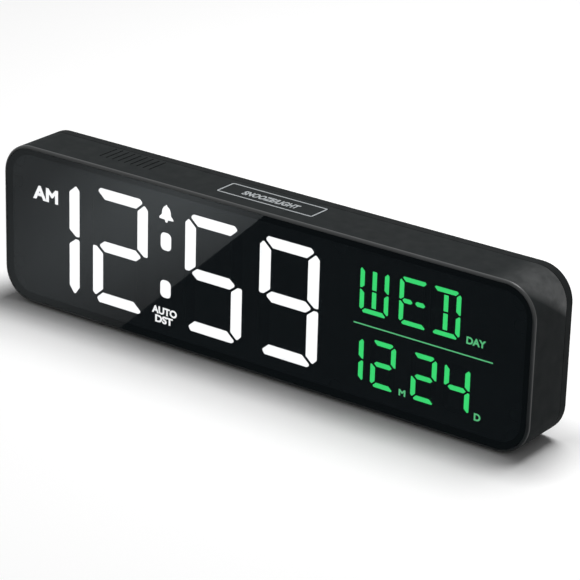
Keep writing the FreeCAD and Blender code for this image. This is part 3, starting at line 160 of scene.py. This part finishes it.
class Finish:
    """A material with its shader, and the nodes that give it grain and variation."""

    def __init__(self, name, base, roughness, **sockets):
        self.material = bpy.data.materials.new(name)
        self.material.use_nodes = True
        self.tree = self.material.node_tree
        self.shader = self.tree.nodes["Principled BSDF"]
        self.shader.inputs["Base Color"].default_value = (*base, 1)
        self.shader.inputs["Roughness"].default_value = roughness
        for socket, value in sockets.items():
            self.shader.inputs[socket.replace("_", " ")].default_value = value
        self.place = self.tree.nodes.new("ShaderNodeTexCoord").outputs["Object"]

    def noise(self, size):
        """Noise of a size in metres."""
        node = self.tree.nodes.new("ShaderNodeTexNoise")
        node.inputs["Scale"].default_value = 1 / size
        node.inputs["Detail"].default_value = 2.0
        self.tree.links.new(self.place, node.inputs["Vector"])
        return node.outputs["Fac"]

    def tones(self, source, *stops):
        """Colours that follow a value. Each stop is a place from 0 to 1 and a colour."""
        ramp = self.tree.nodes.new("ShaderNodeValToRGB")
        elements = ramp.color_ramp.elements
        for extra in stops[2:]:
            elements.new(extra[0])
        for element, (place, tone) in zip(elements, stops):
            element.position = place
            element.color = (*tone, 1)
        self.tree.links.new(source, ramp.inputs["Fac"])
        return ramp.outputs["Color"]

    def colour(self, source, low, high, socket="Base Color"):
        """Lets the colour drift between two tones."""
        self.tree.links.new(self.tones(source, (0.3, low), (0.7, high)), self.shader.inputs[socket])
        return self

    def remap(self, source, start, end, low, high):
        """A value that goes from low to high while its source goes from start to end."""
        node = self.tree.nodes.new("ShaderNodeMapRange")
        for socket, value in (("From Min", start), ("From Max", end), ("To Min", low), ("To Max", high)):
            node.inputs[socket].default_value = value
        self.tree.links.new(source, node.inputs["Value"])
        return node.outputs["Result"]

    def rough(self, source, low, high):
        """Lets the roughness drift between two values."""
        self.tree.links.new(self.remap(source, 0.3, 0.7, low, high), self.shader.inputs["Roughness"])
        return self

    def axis(self, letter):
        """The place along one axis in metres."""
        split = self.tree.nodes.new("ShaderNodeSeparateXYZ")
        self.tree.links.new(self.place, split.inputs["Vector"])
        return split.outputs[letter]

    def combine(self, operation, first, second=0.0):
        """One value of this finish from two by an operation. The second may be a number."""
        return combine(self.tree, operation, first, second)

    def bump(self, source, depth, strength=1.0):
        """Raises the surface by a depth in metres."""
        node = self.tree.nodes.new("ShaderNodeBump")
        node.inputs["Strength"].default_value = strength
        node.inputs["Distance"].default_value = depth
        self.tree.links.new(source, node.inputs["Height"])
        self.tree.links.new(node.outputs["Normal"], self.shader.inputs["Normal"])
        return self


def tone(colour_value, factor):
    """A lighter or darker tone of a colour."""
    return tuple(min(1.0, part * factor) for part in colour_value)


def moulded_plastic(name, base, look, grain, **sockets):
    """Matt moulded plastic with a fine spark grain and faint uneven gloss."""
    finish = Finish(name, base, look.roughness, Specular_IOR_Level=look.shine, **sockets)
    finish.colour(finish.noise(0.012), tone(base, 0.92), tone(base, 1.08))
    finish.rough(finish.noise(0.006), look.roughness - 0.05, look.roughness + 0.05)
    return finish.bump(finish.noise(look.grain_size), look.grain_depth, grain)


# The painted highlight on one upper corner, a glossy patch: how far from the right end, and how far below the top, its
# gloss starts and is full, and how steeply its lower edge rises towards the front
SHEEN_ALONG = (0.026, 0.004)
SHEEN_BELOW = (0.014, 0.009)
SHEEN_RISE = 0.65


def housing_plastic(look):
    """The housing's moulded plastic, polished on the narrow rim round the window, with a painted highlight at one
    upper corner: a glossy patch there.
    """
    finish = moulded_plastic("housing_plastic", look.housing_colour, look, 0.5, Coat_Roughness=look.polish_roughness)
    front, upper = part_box("main_housing")[0].y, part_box("main_housing")[1]
    rim = finish.remap(finish.axis("Y"), front + look.rim_depth, front + 1.3 * look.rim_depth, look.rim_polish, 0)
    # Painted highlight: a glossy coat patch on the upper right corner, uneven at its edge, placed to catch a highlight
    # there
    along = finish.remap(finish.axis("X"), *(upper.x - part for part in SHEEN_ALONG), 0, 1)
    level = finish.combine("ADD", finish.combine("MULTIPLY", finish.axis("Y"), SHEEN_RISE), finish.axis("Z"))
    above = finish.remap(level, *(upper.z - part for part in SHEEN_BELOW), 0, 1)
    uneven = finish.remap(finish.noise(0.005), 0.3, 0.6, 0.6, 1)
    patch = finish.combine("MULTIPLY", finish.combine("POWER", along, 2.0), finish.combine("MULTIPLY", above, uneven))
    painted_sheen = finish.combine("MULTIPLY", patch, look.corner_sheen)
    finish.tree.links.new(finish.combine("MAXIMUM", rim, painted_sheen), finish.shader.inputs["Coat Weight"])
    return finish.material


def key_rubber(base):
    """Soft rubber of the rear keys."""
    finish = Finish("key_rubber", base, 0.7, Specular_IOR_Level=0.3)
    finish.colour(finish.noise(0.003), tone(base, 0.9), tone(base, 1.1))
    finish.rough(finish.noise(0.002), 0.62, 0.8)
    return finish.bump(finish.noise(0.00025), 0.00001, 0.5).material


def smoked_acrylic(tint):
    """Clear glossy sheet with a smoky tint."""
    finish = Finish("smoked_acrylic", tint, 0.01, Transmission_Weight=1.0, IOR=1.49)
    finish.shader.inputs["Specular Tint"].default_value = (0.84, 0.95, 1.0, 1)
    return finish.rough(finish.noise(0.03), 0.004, 0.012).material


def lit_diffuser(name, light, strength):
    """Milky diffuser lit from behind, a little brighter over its lamps."""
    finish = Finish(name, tone(light, 0.6), 0.45, Emission_Strength=strength)
    return finish.colour(finish.noise(0.004), tone(light, 0.94), light, "Emission Color").material


def lit_ink(name, light, strength):
    """Thin coloured film lit from behind."""
    finish = Finish(name, tone(light, 0.5), 0.5, Emission_Strength=strength)
    return finish.colour(finish.noise(0.002), tone(light, 0.9), light, "Emission Color").material


def dull(name, base, roughness, size, spread=0.12, depth=0.0, **sockets):
    """A plain finish with drifting tone and, where it has depth, a grain."""
    finish = Finish(name, base, roughness, **sockets)
    source = finish.noise(size)
    finish.colour(source, tone(base, 1 - spread), tone(base, 1 + spread))
    finish.rough(finish.noise(size * 3), roughness * 0.9, min(1.0, roughness * 1.1))
    return finish.bump(source, depth, 0.6).material if depth else finish.material


def circuit_green():
    """Solder mask with copper runs showing through as lighter stripes."""
    finish = Finish("circuit_green", (0.01, 0.11, 0.04), 0.35)
    wave = finish.tree.nodes.new("ShaderNodeTexWave")
    wave.inputs["Scale"].default_value = 120
    wave.inputs["Distortion"].default_value = 6
    wave.inputs["Detail Scale"].default_value = 0.6
    finish.tree.links.new(finish.place, wave.inputs["Vector"])
    finish.colour(wave.outputs["Fac"], (0.008, 0.095, 0.035), (0.014, 0.15, 0.055))
    return finish.bump(wave.outputs["Fac"], 0.00003, 0.4).material


def cell_jacket():
    """Plain printed jacket with bare steel at both ends of each cell."""
    finish = Finish("cell_jacket", (0.10, 0.16, 0.32), 0.3)
    low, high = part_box("battery_cells")
    along = finish.remap(finish.axis("X"), low.x, high.x, 0, 1)
    steel, blue, pale = (0.45, 0.45, 0.44), (0.03, 0.09, 0.26), (0.50, 0.52, 0.55)
    stops = (
        (0.0, steel), (0.045, steel), (0.05, pale), (0.16, pale), (0.165, blue), (0.835, blue), (0.84, pale),
        (0.95, pale), (0.955, steel),
    )
    ramp = finish.tones(along, *stops)
    finish.tree.links.new(ramp, finish.shader.inputs["Base Color"])
    return finish.rough(finish.noise(0.002), 0.24, 0.36).material


def give(material, *names):
    """Gives CAD pieces a finish in place of the plain one they came with."""
    for name in names:
        mesh = PIECES[name].data
        mesh.materials.clear()
        mesh.materials.append(material)


# Thin marks laid on a face

FRONT_FACE = (Vector((1, 0, 0)), Vector((0, 0, 1)))
TOP_FACE = (Vector((1, 0, 0)), Vector((0, 1, 0)))
REAR_FACE = (Vector((-1, 0, 0)), Vector((0, 0, 1)))


def lettering(text, weight=0.0):
    """A word as a closed mesh from the built-in letters. A weight makes them bolder all round."""
    curve = bpy.data.curves.new("letters", "FONT")
    curve.body = text
    curve.extrude = 0.01
    curve.bevel_depth = weight
    curve.bevel_resolution = 1
    curve.resolution_u = 5
    holder = bpy.data.objects.new("letters", curve)
    bpy.context.scene.collection.objects.link(holder)
    bpy.context.view_layer.update()
    mesh = bpy.data.meshes.new_from_object(holder.evaluated_get(bpy.context.evaluated_depsgraph_get()))
    bpy.data.objects.remove(holder)
    bpy.data.curves.remove(curve)
    return mesh


def lay(name, mesh, face, low, high, base, thickness):
    """Stretches a flat mesh over a rectangle of a face, given in metres along the face's two directions."""
    right, up = face
    outward = right.cross(up)
    points = [vertex.co.copy() for vertex in mesh.vertices]
    least = Vector(map(min, zip(*points)))
    span = Vector(map(max, zip(*points))) - least
    for vertex, point in zip(mesh.vertices, points):
        across = low[0] + (high[0] - low[0]) * (point.x - least.x) / span.x
        along = low[1] + (high[1] - low[1]) * (point.y - least.y) / span.y
        rise = base + thickness * (point.z - least.z) / span.z
        vertex.co = right * across + up * along + outward * rise
    mesh.name = name
    piece = bpy.data.objects.new(name, mesh)
    bpy.context.scene.collection.objects.link(piece)
    return piece


def dress(piece, material, body):
    """Gives a new piece its finish and the body it moves with."""
    piece.data.materials.clear()
    piece.data.materials.append(material)
    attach(piece, body)
    return piece


def rounded_loop(width, height, radius, steps=6):
    """Points of a rounded rectangle round the origin."""
    points = []
    for turn, (side, level) in enumerate(((1, -1), (1, 1), (-1, 1), (-1, -1))):
        for step in range(steps + 1):
            angle = math.radians(90 * (turn - 1) + 90 * step / steps)
            points.append((
                side * (width / 2 - radius) + radius * math.cos(angle),
                level * (height / 2 - radius) + radius * math.sin(angle),
            ))
    return points


def outline_band(width, height, radius, line):
    """A flat closed band along a rounded rectangle, with its outer edge on it."""
    outer = rounded_loop(width, height, radius)
    inner = rounded_loop(width - 2 * line, height - 2 * line, max(radius - line, radius * 0.2))
    build = bmesh.new()
    rings = [
        [build.verts.new((x, y, z)) for x, y in loop]
        for z, loop in ((0, outer), (0, inner), (1, inner), (1, outer))
    ]
    count = len(outer)
    for ring, following in zip(rings, rings[1:] + rings[:1]):
        for index in range(count):
            after = (index + 1) % count
            build.faces.new((ring[index], following[index], following[after], ring[after]))
    bmesh.ops.recalc_face_normals(build, faces=build.faces)
    mesh = bpy.data.meshes.new("band")
    build.to_mesh(mesh)
    build.free()
    return mesh


# One operator for each group of pieces

class ClockOperator:
    """What the clock's operators share."""

    bl_options = {"REGISTER", "UNDO"}


class CLOCK_OT_stage(ClockOperator, bpy.types.Operator):
    """Makes the camera, the floor, the lamps and the even sky"""

    bl_idname = "clock.stage"
    bl_label = "Stage"

    # The camera's place in metres, and how far it turns, looks down and rolls in degrees
    CAMERA_PLACE = (0.67491, -0.92732, 0.49907)
    CAMERA_TURN, CAMERA_DROP, CAMERA_ROLL = 35.637, 21.974, 1.607

    # Each lamp's name, place, width and share of the lamp power
    LAMPS = (("overhead_lamp", (0.12, 0.40, 1.15), 0.7, 1.0), ("front_lamp", (0.7, -1.3, 0.8), 0.9, 0.12))
    LAMP_TARGET = Vector((0, 0, 0.04))

    # Where the two cards before the clock meet, how far they are turned, how far they reach to the front and each way
    CARD_PLACE = (-0.0772, -0.0160, 0.0006)
    CARD_TURN = math.radians(13.143)
    CARD_REACH = -0.24
    CARD_SPANS = {"pale_card": (-0.35, 0.0), "dark_card": (0.0, 0.32)}

    # The pale card's shades over its width, and the places and strengths of its glow far from the clock and near it
    PALE_WIDTH = 0.16
    PALE_SHADES = ((0.0, 0.40), (0.18, 0.43), (0.38, 0.68), (0.56, 0.95), (0.69, 1.0), (0.81, 0.93), (1.0, 0.68))
    PALE_FAR, PALE_NEAR = (-0.18, 1.08), (-0.01, 0.46)
    DARK_TONES = ((0.090, 0.108, 0.118), (0.098, 0.117, 0.128))

    def execute(self, context):
        look = context.scene.clock_stage
        context.scene.view_settings.view_transform = "Standard"
        self.camera(context, look)
        self.floor(context, look)
        self.window_reflection(context)
        self.lamps(context, look)
        self.sky(context, look)
        return {"FINISHED"}

    def camera(self, context, look):
        data = bpy.data.cameras.new("camera")
        data.lens = look.focal_length
        data.sensor_width = 36
        data.clip_end = 50
        camera = bpy.data.objects.new("camera", data)
        context.scene.collection.objects.link(camera)
        turn = Matrix.Rotation(math.radians(self.CAMERA_TURN), 3, "Z")
        tilt = Matrix.Rotation(math.radians(90 - self.CAMERA_DROP), 3, "X")
        roll = Matrix.Rotation(math.radians(self.CAMERA_ROLL), 3, "Z")
        camera.matrix_world = (turn @ tilt @ roll).to_4x4()
        camera.location = self.CAMERA_PLACE
        context.scene.camera = camera

    def floor(self, context, look):
        build = bmesh.new()
        bmesh.ops.create_grid(build, x_segments=8, y_segments=8, size=6)
        mesh = bpy.data.meshes.new("floor")
        build.to_mesh(mesh)
        build.free()
        finish = Finish("floor_paper", look.floor_colour, 0.8, Specular_IOR_Level=0.0)
        finish.colour(finish.noise(0.2), tone(look.floor_colour, 0.995), look.floor_colour)
        tree = finish.tree
        glow = tree.nodes.new("ShaderNodeEmission")
        add = tree.nodes.new("ShaderNodeAddShader")
        # Painted shadow: the glow fades to nothing at the clock's footprint and darkens the floor round it, on top of
        # the lamps' own shadow
        away = finish.remap(self.distance(finish), 0.0, look.glow_reach, look.glow_near, look.glow_far)
        tree.links.new(combine(tree, "MULTIPLY", self.seen(tree), away), glow.inputs["Strength"])
        tree.links.new(finish.shader.outputs["BSDF"], add.inputs[0])
        tree.links.new(glow.outputs["Emission"], add.inputs[1])
        tree.links.new(add.outputs["Shader"], tree.nodes["Material Output"].inputs["Surface"])
        mesh.materials.append(finish.material)
        floor = bpy.data.objects.new("floor", mesh)
        context.scene.collection.objects.link(floor)

    def distance(self, finish):
        """How far a point of the floor lies from the clock's footprint."""
        low, high = FRAME_BOX
        squares = []
        for letter, half in (("X", (high.x - low.x) / 2), ("Y", (high.y - low.y) / 2)):
            over = finish.axis(letter)
            for operation, value in (("ABSOLUTE", 0.0), ("SUBTRACT", half), ("MAXIMUM", 0.0), ("POWER", 2.0)):
                over = finish.combine(operation, over, value)
            squares.append(over)
        return finish.combine("SQRT", finish.combine("ADD", *squares))

    def seen(self, tree):
        """One for what the camera sees, straight or by a reflection or through the window, and else none."""
        path = tree.nodes.new("ShaderNodeLightPath")
        total = path.outputs["Is Camera Ray"]
        for output in ("Is Glossy Ray", "Is Transmission Ray"):
            total = combine(tree, "MAXIMUM", total, path.outputs[output])
        return total

    def window_reflection(self, context):
        """Two cards before the clock that only its gloss shows: a pale one, and a dark one to the right of a slant."""
        place = Matrix.Translation(self.CARD_PLACE) @ Matrix.Rotation(-self.CARD_TURN, 4, "Z")
        pale = Finish("pale_card", (0, 0, 0), 1.0, Specular_IOR_Level=0.0)
        across = pale.remap(pale.axis("X"), -self.PALE_WIDTH, 0.0, 0, 1)
        tones = pale.tones(across, *((stop, (shade, shade, shade)) for stop, shade in self.PALE_SHADES))
        pale.tree.links.new(tones, pale.shader.inputs["Emission Color"])
        (far, strong), (near, weak) = self.PALE_FAR, self.PALE_NEAR
        away = pale.remap(pale.axis("Y"), far, near, strong, weak)
        pale.tree.links.new(away, pale.shader.inputs["Emission Strength"])
        dark = Finish("dark_card", (0, 0, 0), 1.0, Specular_IOR_Level=0.0, Emission_Strength=1.0)
        dark.colour(dark.noise(0.05), *self.DARK_TONES, "Emission Color")
        slant = math.tan(self.CARD_TURN)
        for finish in (pale, dark):
            name = finish.material.name
            start, end = self.CARD_SPANS[name]
            reach = self.CARD_REACH
            corners = ((start, reach), (end, reach), (end, end * slant), (start, start * slant))
            build = bmesh.new()
            build.faces.new([build.verts.new((x, y, 0)) for x, y in corners])
            mesh = bpy.data.meshes.new(name)
            build.to_mesh(mesh)
            build.free()
            mesh.materials.append(finish.material)
            card = bpy.data.objects.new(name, mesh)
            card.matrix_world = place
            context.scene.collection.objects.link(card)
            for way in ("camera", "diffuse", "shadow", "volume_scatter"):
                setattr(card, f"visible_{way}", False)

    def lamps(self, context, look):
        for name, place, width, part in self.LAMPS:
            data = bpy.data.lights.new(name, "AREA")
            data.shape = "DISK"
            data.size = width
            data.energy = look.lamp_power * part
            lamp = bpy.data.objects.new(name, data)
            lamp.location = place
            aim = self.LAMP_TARGET - Vector(place)
            lamp.rotation_euler = aim.to_track_quat("-Z", "Y").to_euler()
            context.scene.collection.objects.link(lamp)

    def sky(self, context, look):
        world = bpy.data.worlds.new("even_sky")
        world.use_nodes = True
        tree = world.node_tree
        light = tree.nodes["Background"]
        light.inputs["Color"].default_value = (1, 1, 1, 1)
        more = combine(tree, "MULTIPLY", self.seen(tree), 1 - look.sky_light)
        tree.links.new(combine(tree, "ADD", more, look.sky_light), light.inputs["Strength"])
        context.scene.world = world


class CLOCK_OT_shell(ClockOperator, bpy.types.Operator):
    """Gives the housing, the snooze key, the rear cover and the battery door their moulded grain"""

    bl_idname = "clock.shell"
    bl_label = "Shell"

    def execute(self, context):
        look = context.scene.clock_shell
        give(housing_plastic(look), "main_housing", "snooze_key")
        cover = moulded_plastic("cover_plastic", look.cover_colour, look, 0.6)
        give(cover.material, "rear_cover", "battery_door")
        return {"FINISHED"}


class CLOCK_OT_window(ClockOperator, bpy.types.Operator):
    """Makes the window smoked and glossy, and what holds it and lies behind it black"""

    bl_idname = "clock.window"
    bl_label = "Window"

    def execute(self, context):
        look = context.scene.clock_window
        give(smoked_acrylic(look.tint), "front_lens")
        give(dull("black_tape", (0.005, 0.006, 0.0065), 0.01, 0.002, IOR=2.0), "lens_tape")
        black = dull("black_reflector", (0.006, 0.0075, 0.008), 0.95, 0.003, depth=0.00001, Specular_IOR_Level=0.2)
        give(black, "display_reflector")
        give(dull("unlit_diffuser", (0.006, 0.0065, 0.007), 0.5, 0.003, Specular_IOR_Level=0.0), "dark_segments")
        return {"FINISHED"}


class CLOCK_OT_figures(ClockOperator, bpy.types.Operator):
    """Lights the time, the bell, the weekday, the date and the line"""

    bl_idname = "clock.figures"
    bl_label = "Lit figures"

    def execute(self, context):
        look = context.scene.clock_window
        give(lit_diffuser("white_diffuser", look.white_light, look.brightness), "time_segments", "bell_window")
        give(lit_diffuser("green_diffuser", look.green_light, look.brightness), "calendar_segments")
        give(lit_diffuser("line_diffuser", look.pale_green_light, look.brightness), "divider_window")
        return {"FINISHED"}


class CLOCK_OT_display_words(ClockOperator, bpy.types.Operator):
    """Puts the small lit words on the face of the reflector"""

    bl_idname = "clock.display_words"
    bl_label = "Lit words"

    # Each light's slot and the weight of its letters, then each word's light and its corners in millimetres
    WHITE = ("white_light", 0.040)
    GREEN = ("green_line_light", 0.038)
    WORDS = (
        ("am_word", "AM", WHITE, (-128.3, 53.3), (-113.1, 60.1)),
        ("auto_word", "AUTO", WHITE, (-57.1, 14.9), (-42.7, 18.6)),
        ("dst_word", "DST", WHITE, (-55.2, 10.6), (-45.0, 14.3)),
        ("day_word", "DAY", GREEN, (111.6, 45.1), (121.3, 48.5)),
        ("month_word", "M", GREEN, (78.9, 12.1), (82.4, 15.1)),
        ("date_word", "D", GREEN, (117.3, 11.4), (120.6, 14.8)),
    )
    FILM = 0.05 * MM

    def execute(self, context):
        look = context.scene.clock_window
        inks = {
            "white_light": lit_ink("white_word", look.white_light, look.brightness * 0.95),
            "green_line_light": lit_ink("green_word", look.pale_green_light, look.brightness),
        }
        face = -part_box("display_reflector")[0].y
        for name, text, (slot, weight), low, high in self.WORDS:
            low, high = (tuple(part * MM for part in corner) for corner in (low, high))
            piece = lay(name, lettering(text, weight), FRONT_FACE, low, high, face, self.FILM)
            dress(piece, inks[slot], "case")
        return {"FINISHED"}


class CLOCK_OT_snooze_print(ClockOperator, bpy.types.Operator):
    """Prints the outline and the words on the snooze key"""

    bl_idname = "clock.snooze_print"
    bl_label = "Snooze print"

    # The corners of the outline and of its words in millimetres, and the radius of the outline's corners
    FIELD = ((-27.5, -6.0), (24.8, 6.8))
    WORDS = ((-16.5, -2.5), (13.6, 2.3))
    CORNER = 1.2 * MM

    def execute(self, context):
        look = context.scene.clock_print
        ink = dull("pale_ink", look.ink_colour, 0.55, 0.0006, spread=0.1)
        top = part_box("snooze_key")[1].z
        low, high = (tuple(part * MM for part in corner) for corner in self.FIELD)
        band = outline_band(high[0] - low[0], high[1] - low[1], self.CORNER, look.outline_width)
        piece = lay("snooze_outline", band, TOP_FACE, low, high, top, look.ink_thickness)
        dress(piece, ink, "snooze_key_body")
        low, high = (tuple(part * MM for part in corner) for corner in self.WORDS)
        piece = lay("snooze_word", lettering("SNOOZE/LIGHT", 0.042), TOP_FACE, low, high, top, look.ink_thickness)
        dress(piece, ink, "snooze_key_body")
        return {"FINISHED"}


class CLOCK_OT_rear(ClockOperator, bpy.types.Operator):
    """Finishes the rear keys, the power socket and the screws, and prints the words over the keys"""

    bl_idname = "clock.rear"
    bl_label = "Rear"

    # A word's height, and its distance above a key and above the socket
    HEIGHT = 2.0 * MM
    OVER_KEY = 2.2 * MM
    OVER_SOCKET = 4.2 * MM

    # Half a letter's width as a share of its height, and half the width of the words over the socket
    HALF_LETTER = 0.36
    HALF_SOCKET_WORD = 3.6 * MM

    def execute(self, context):
        look = context.scene.clock_shell
        ink = dull("rear_ink", context.scene.clock_print.ink_colour, 0.6, 0.0006)
        give(key_rubber(look.key_colour), *KEY_WORDS)
        give(dull("dark_screw", (0.12, 0.12, 0.125), 0.35, 0.0008, Metallic=1.0), "rear_screws")
        give(dull("socket_steel", (0.55, 0.55, 0.54), 0.28, 0.001, Metallic=1.0), "power_socket_shell")
        give(dull("black_tongue", (0.015, 0.015, 0.016), 0.5, 0.001), "power_socket_tongue")
        for key, text in KEY_WORDS.items():
            half = self.HEIGHT * self.HALF_LETTER * len(text)
            self.word(f"{key}_word", text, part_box(key), half, self.OVER_KEY, ink)
        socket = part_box("power_socket_shell")
        self.word("socket_word", "DC 5V", socket, self.HALF_SOCKET_WORD, self.OVER_SOCKET, ink)
        return {"FINISHED"}

    def word(self, name, text, box, half, above, ink):
        """Prints a word on the rear face above the middle of a piece, given by the corners of its box."""
        low, high = box
        middle, base, face = (low.x + high.x) / 2, high.z + above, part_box("rear_cover")[1].y
        corners = (-middle - half, base), (-middle + half, base + self.HEIGHT)
        mark = lay(name, lettering(text, 0.005), REAR_FACE, *corners, face, 0.02 * MM)
        dress(mark, ink, "case")


class CLOCK_OT_feet(ClockOperator, bpy.types.Operator):
    """Gives the feet their rubber"""

    bl_idname = "clock.feet"
    bl_label = "Feet"

    def execute(self, context):
        give(dull("foot_rubber", (0.016, 0.016, 0.017), 0.85, 0.0006, depth=0.00003), "rubber_feet")
        return {"FINISHED"}


class CLOCK_OT_boards(ClockOperator, bpy.types.Operator):
    """Finishes the circuit boards and what is soldered or screwed to them"""

    bl_idname = "clock.boards"
    bl_label = "Boards"

    def execute(self, context):
        give(circuit_green(), "display_board", "snooze_board", "key_board")
        give(dull("lamp_epoxy", (0.75, 0.66, 0.25), 0.25, 0.0004), "display_leds")
        give(dull("chip_epoxy", (0.014, 0.014, 0.015), 0.55, 0.0008, depth=0.00001), "clock_chips")
        give(dull("switch_black", (0.018, 0.018, 0.019), 0.5, 0.001), "snooze_switch", "key_switches")
        steel = dull("screw_steel", (0.5, 0.5, 0.5), 0.3, 0.0006, Metallic=1.0)
        give(steel, "board_screws", "snooze_board_screws", "key_board_screws")
        give(dull("red_insulation", (0.32, 0.02, 0.02), 0.45, 0.002), "speaker_wires", "battery_wires")
        give(dull("grey_insulation", (0.35, 0.35, 0.34), 0.5, 0.002), "snooze_wires", "board_ribbon")
        return {"FINISHED"}


class CLOCK_OT_speaker(ClockOperator, bpy.types.Operator):
    """Finishes the speaker under its slots"""

    bl_idname = "clock.speaker"
    bl_label = "Speaker"

    def execute(self, context):
        give(dull("black_foam", (0.012, 0.012, 0.012), 0.95, 0.0005, 0.3, 0.0001), "speaker_gasket")
        give(dull("speaker_frame", (0.012, 0.012, 0.013), 0.5, 0.002), "speaker_frame")
        give(dull("speaker_paper", (0.02, 0.02, 0.019), 0.8, 0.0007, 0.25, 0.00004), "speaker_cone")
        give(dull("magnet_plating", (0.5, 0.5, 0.49), 0.32, 0.001, Metallic=1.0), "speaker_magnet")
        return {"FINISHED"}


class CLOCK_OT_battery(ClockOperator, bpy.types.Operator):
    """Finishes the backup cells and the contacts that hold them"""

    bl_idname = "clock.battery"
    bl_label = "Battery bay"

    def execute(self, context):
        give(cell_jacket(), "battery_cells")
        nickel = dull("nickel_plate", (0.58, 0.56, 0.52), 0.3, 0.0008, Metallic=1.0)
        give(nickel, "battery_plates", "battery_springs")
        return {"FINISHED"}


OPERATORS = (
    CLOCK_OT_stage, CLOCK_OT_shell, CLOCK_OT_window, CLOCK_OT_figures, CLOCK_OT_display_words,
    CLOCK_OT_snooze_print, CLOCK_OT_rear, CLOCK_OT_feet, CLOCK_OT_boards, CLOCK_OT_speaker, CLOCK_OT_battery,
)


class CLOCK_PT_pieces(bpy.types.Panel):
    """Lists the clock's operators and the values they read."""

    bl_label = "Desk clock"
    bl_space_type = "VIEW_3D"
    bl_region_type = "UI"
    bl_category = "Clock"

    def draw(self, context):
        for operator in OPERATORS:
            self.layout.operator(operator.bl_idname)
        for name, group in LOOKS.items():
            box = self.layout.box()
            for value in group.__annotations__:
                box.prop(getattr(context.scene, name), value)


def register():
    for kind in (*LOOKS.values(), *OPERATORS, CLOCK_PT_pieces):
        bpy.utils.register_class(kind)
    for name, group in LOOKS.items():
        setattr(bpy.types.Scene, name, bpy.props.PointerProperty(type=group))


def unregister():
    for name in LOOKS:
        delattr(bpy.types.Scene, name)
    for kind in (CLOCK_PT_pieces, *reversed(OPERATORS), *reversed(LOOKS.values())):
        bpy.utils.unregister_class(kind)


def main():
    register()
    for operator in OPERATORS:
        group, name = operator.bl_idname.split(".")
        getattr(getattr(bpy.ops, group), name)()


if __name__ == "__main__":
    main()
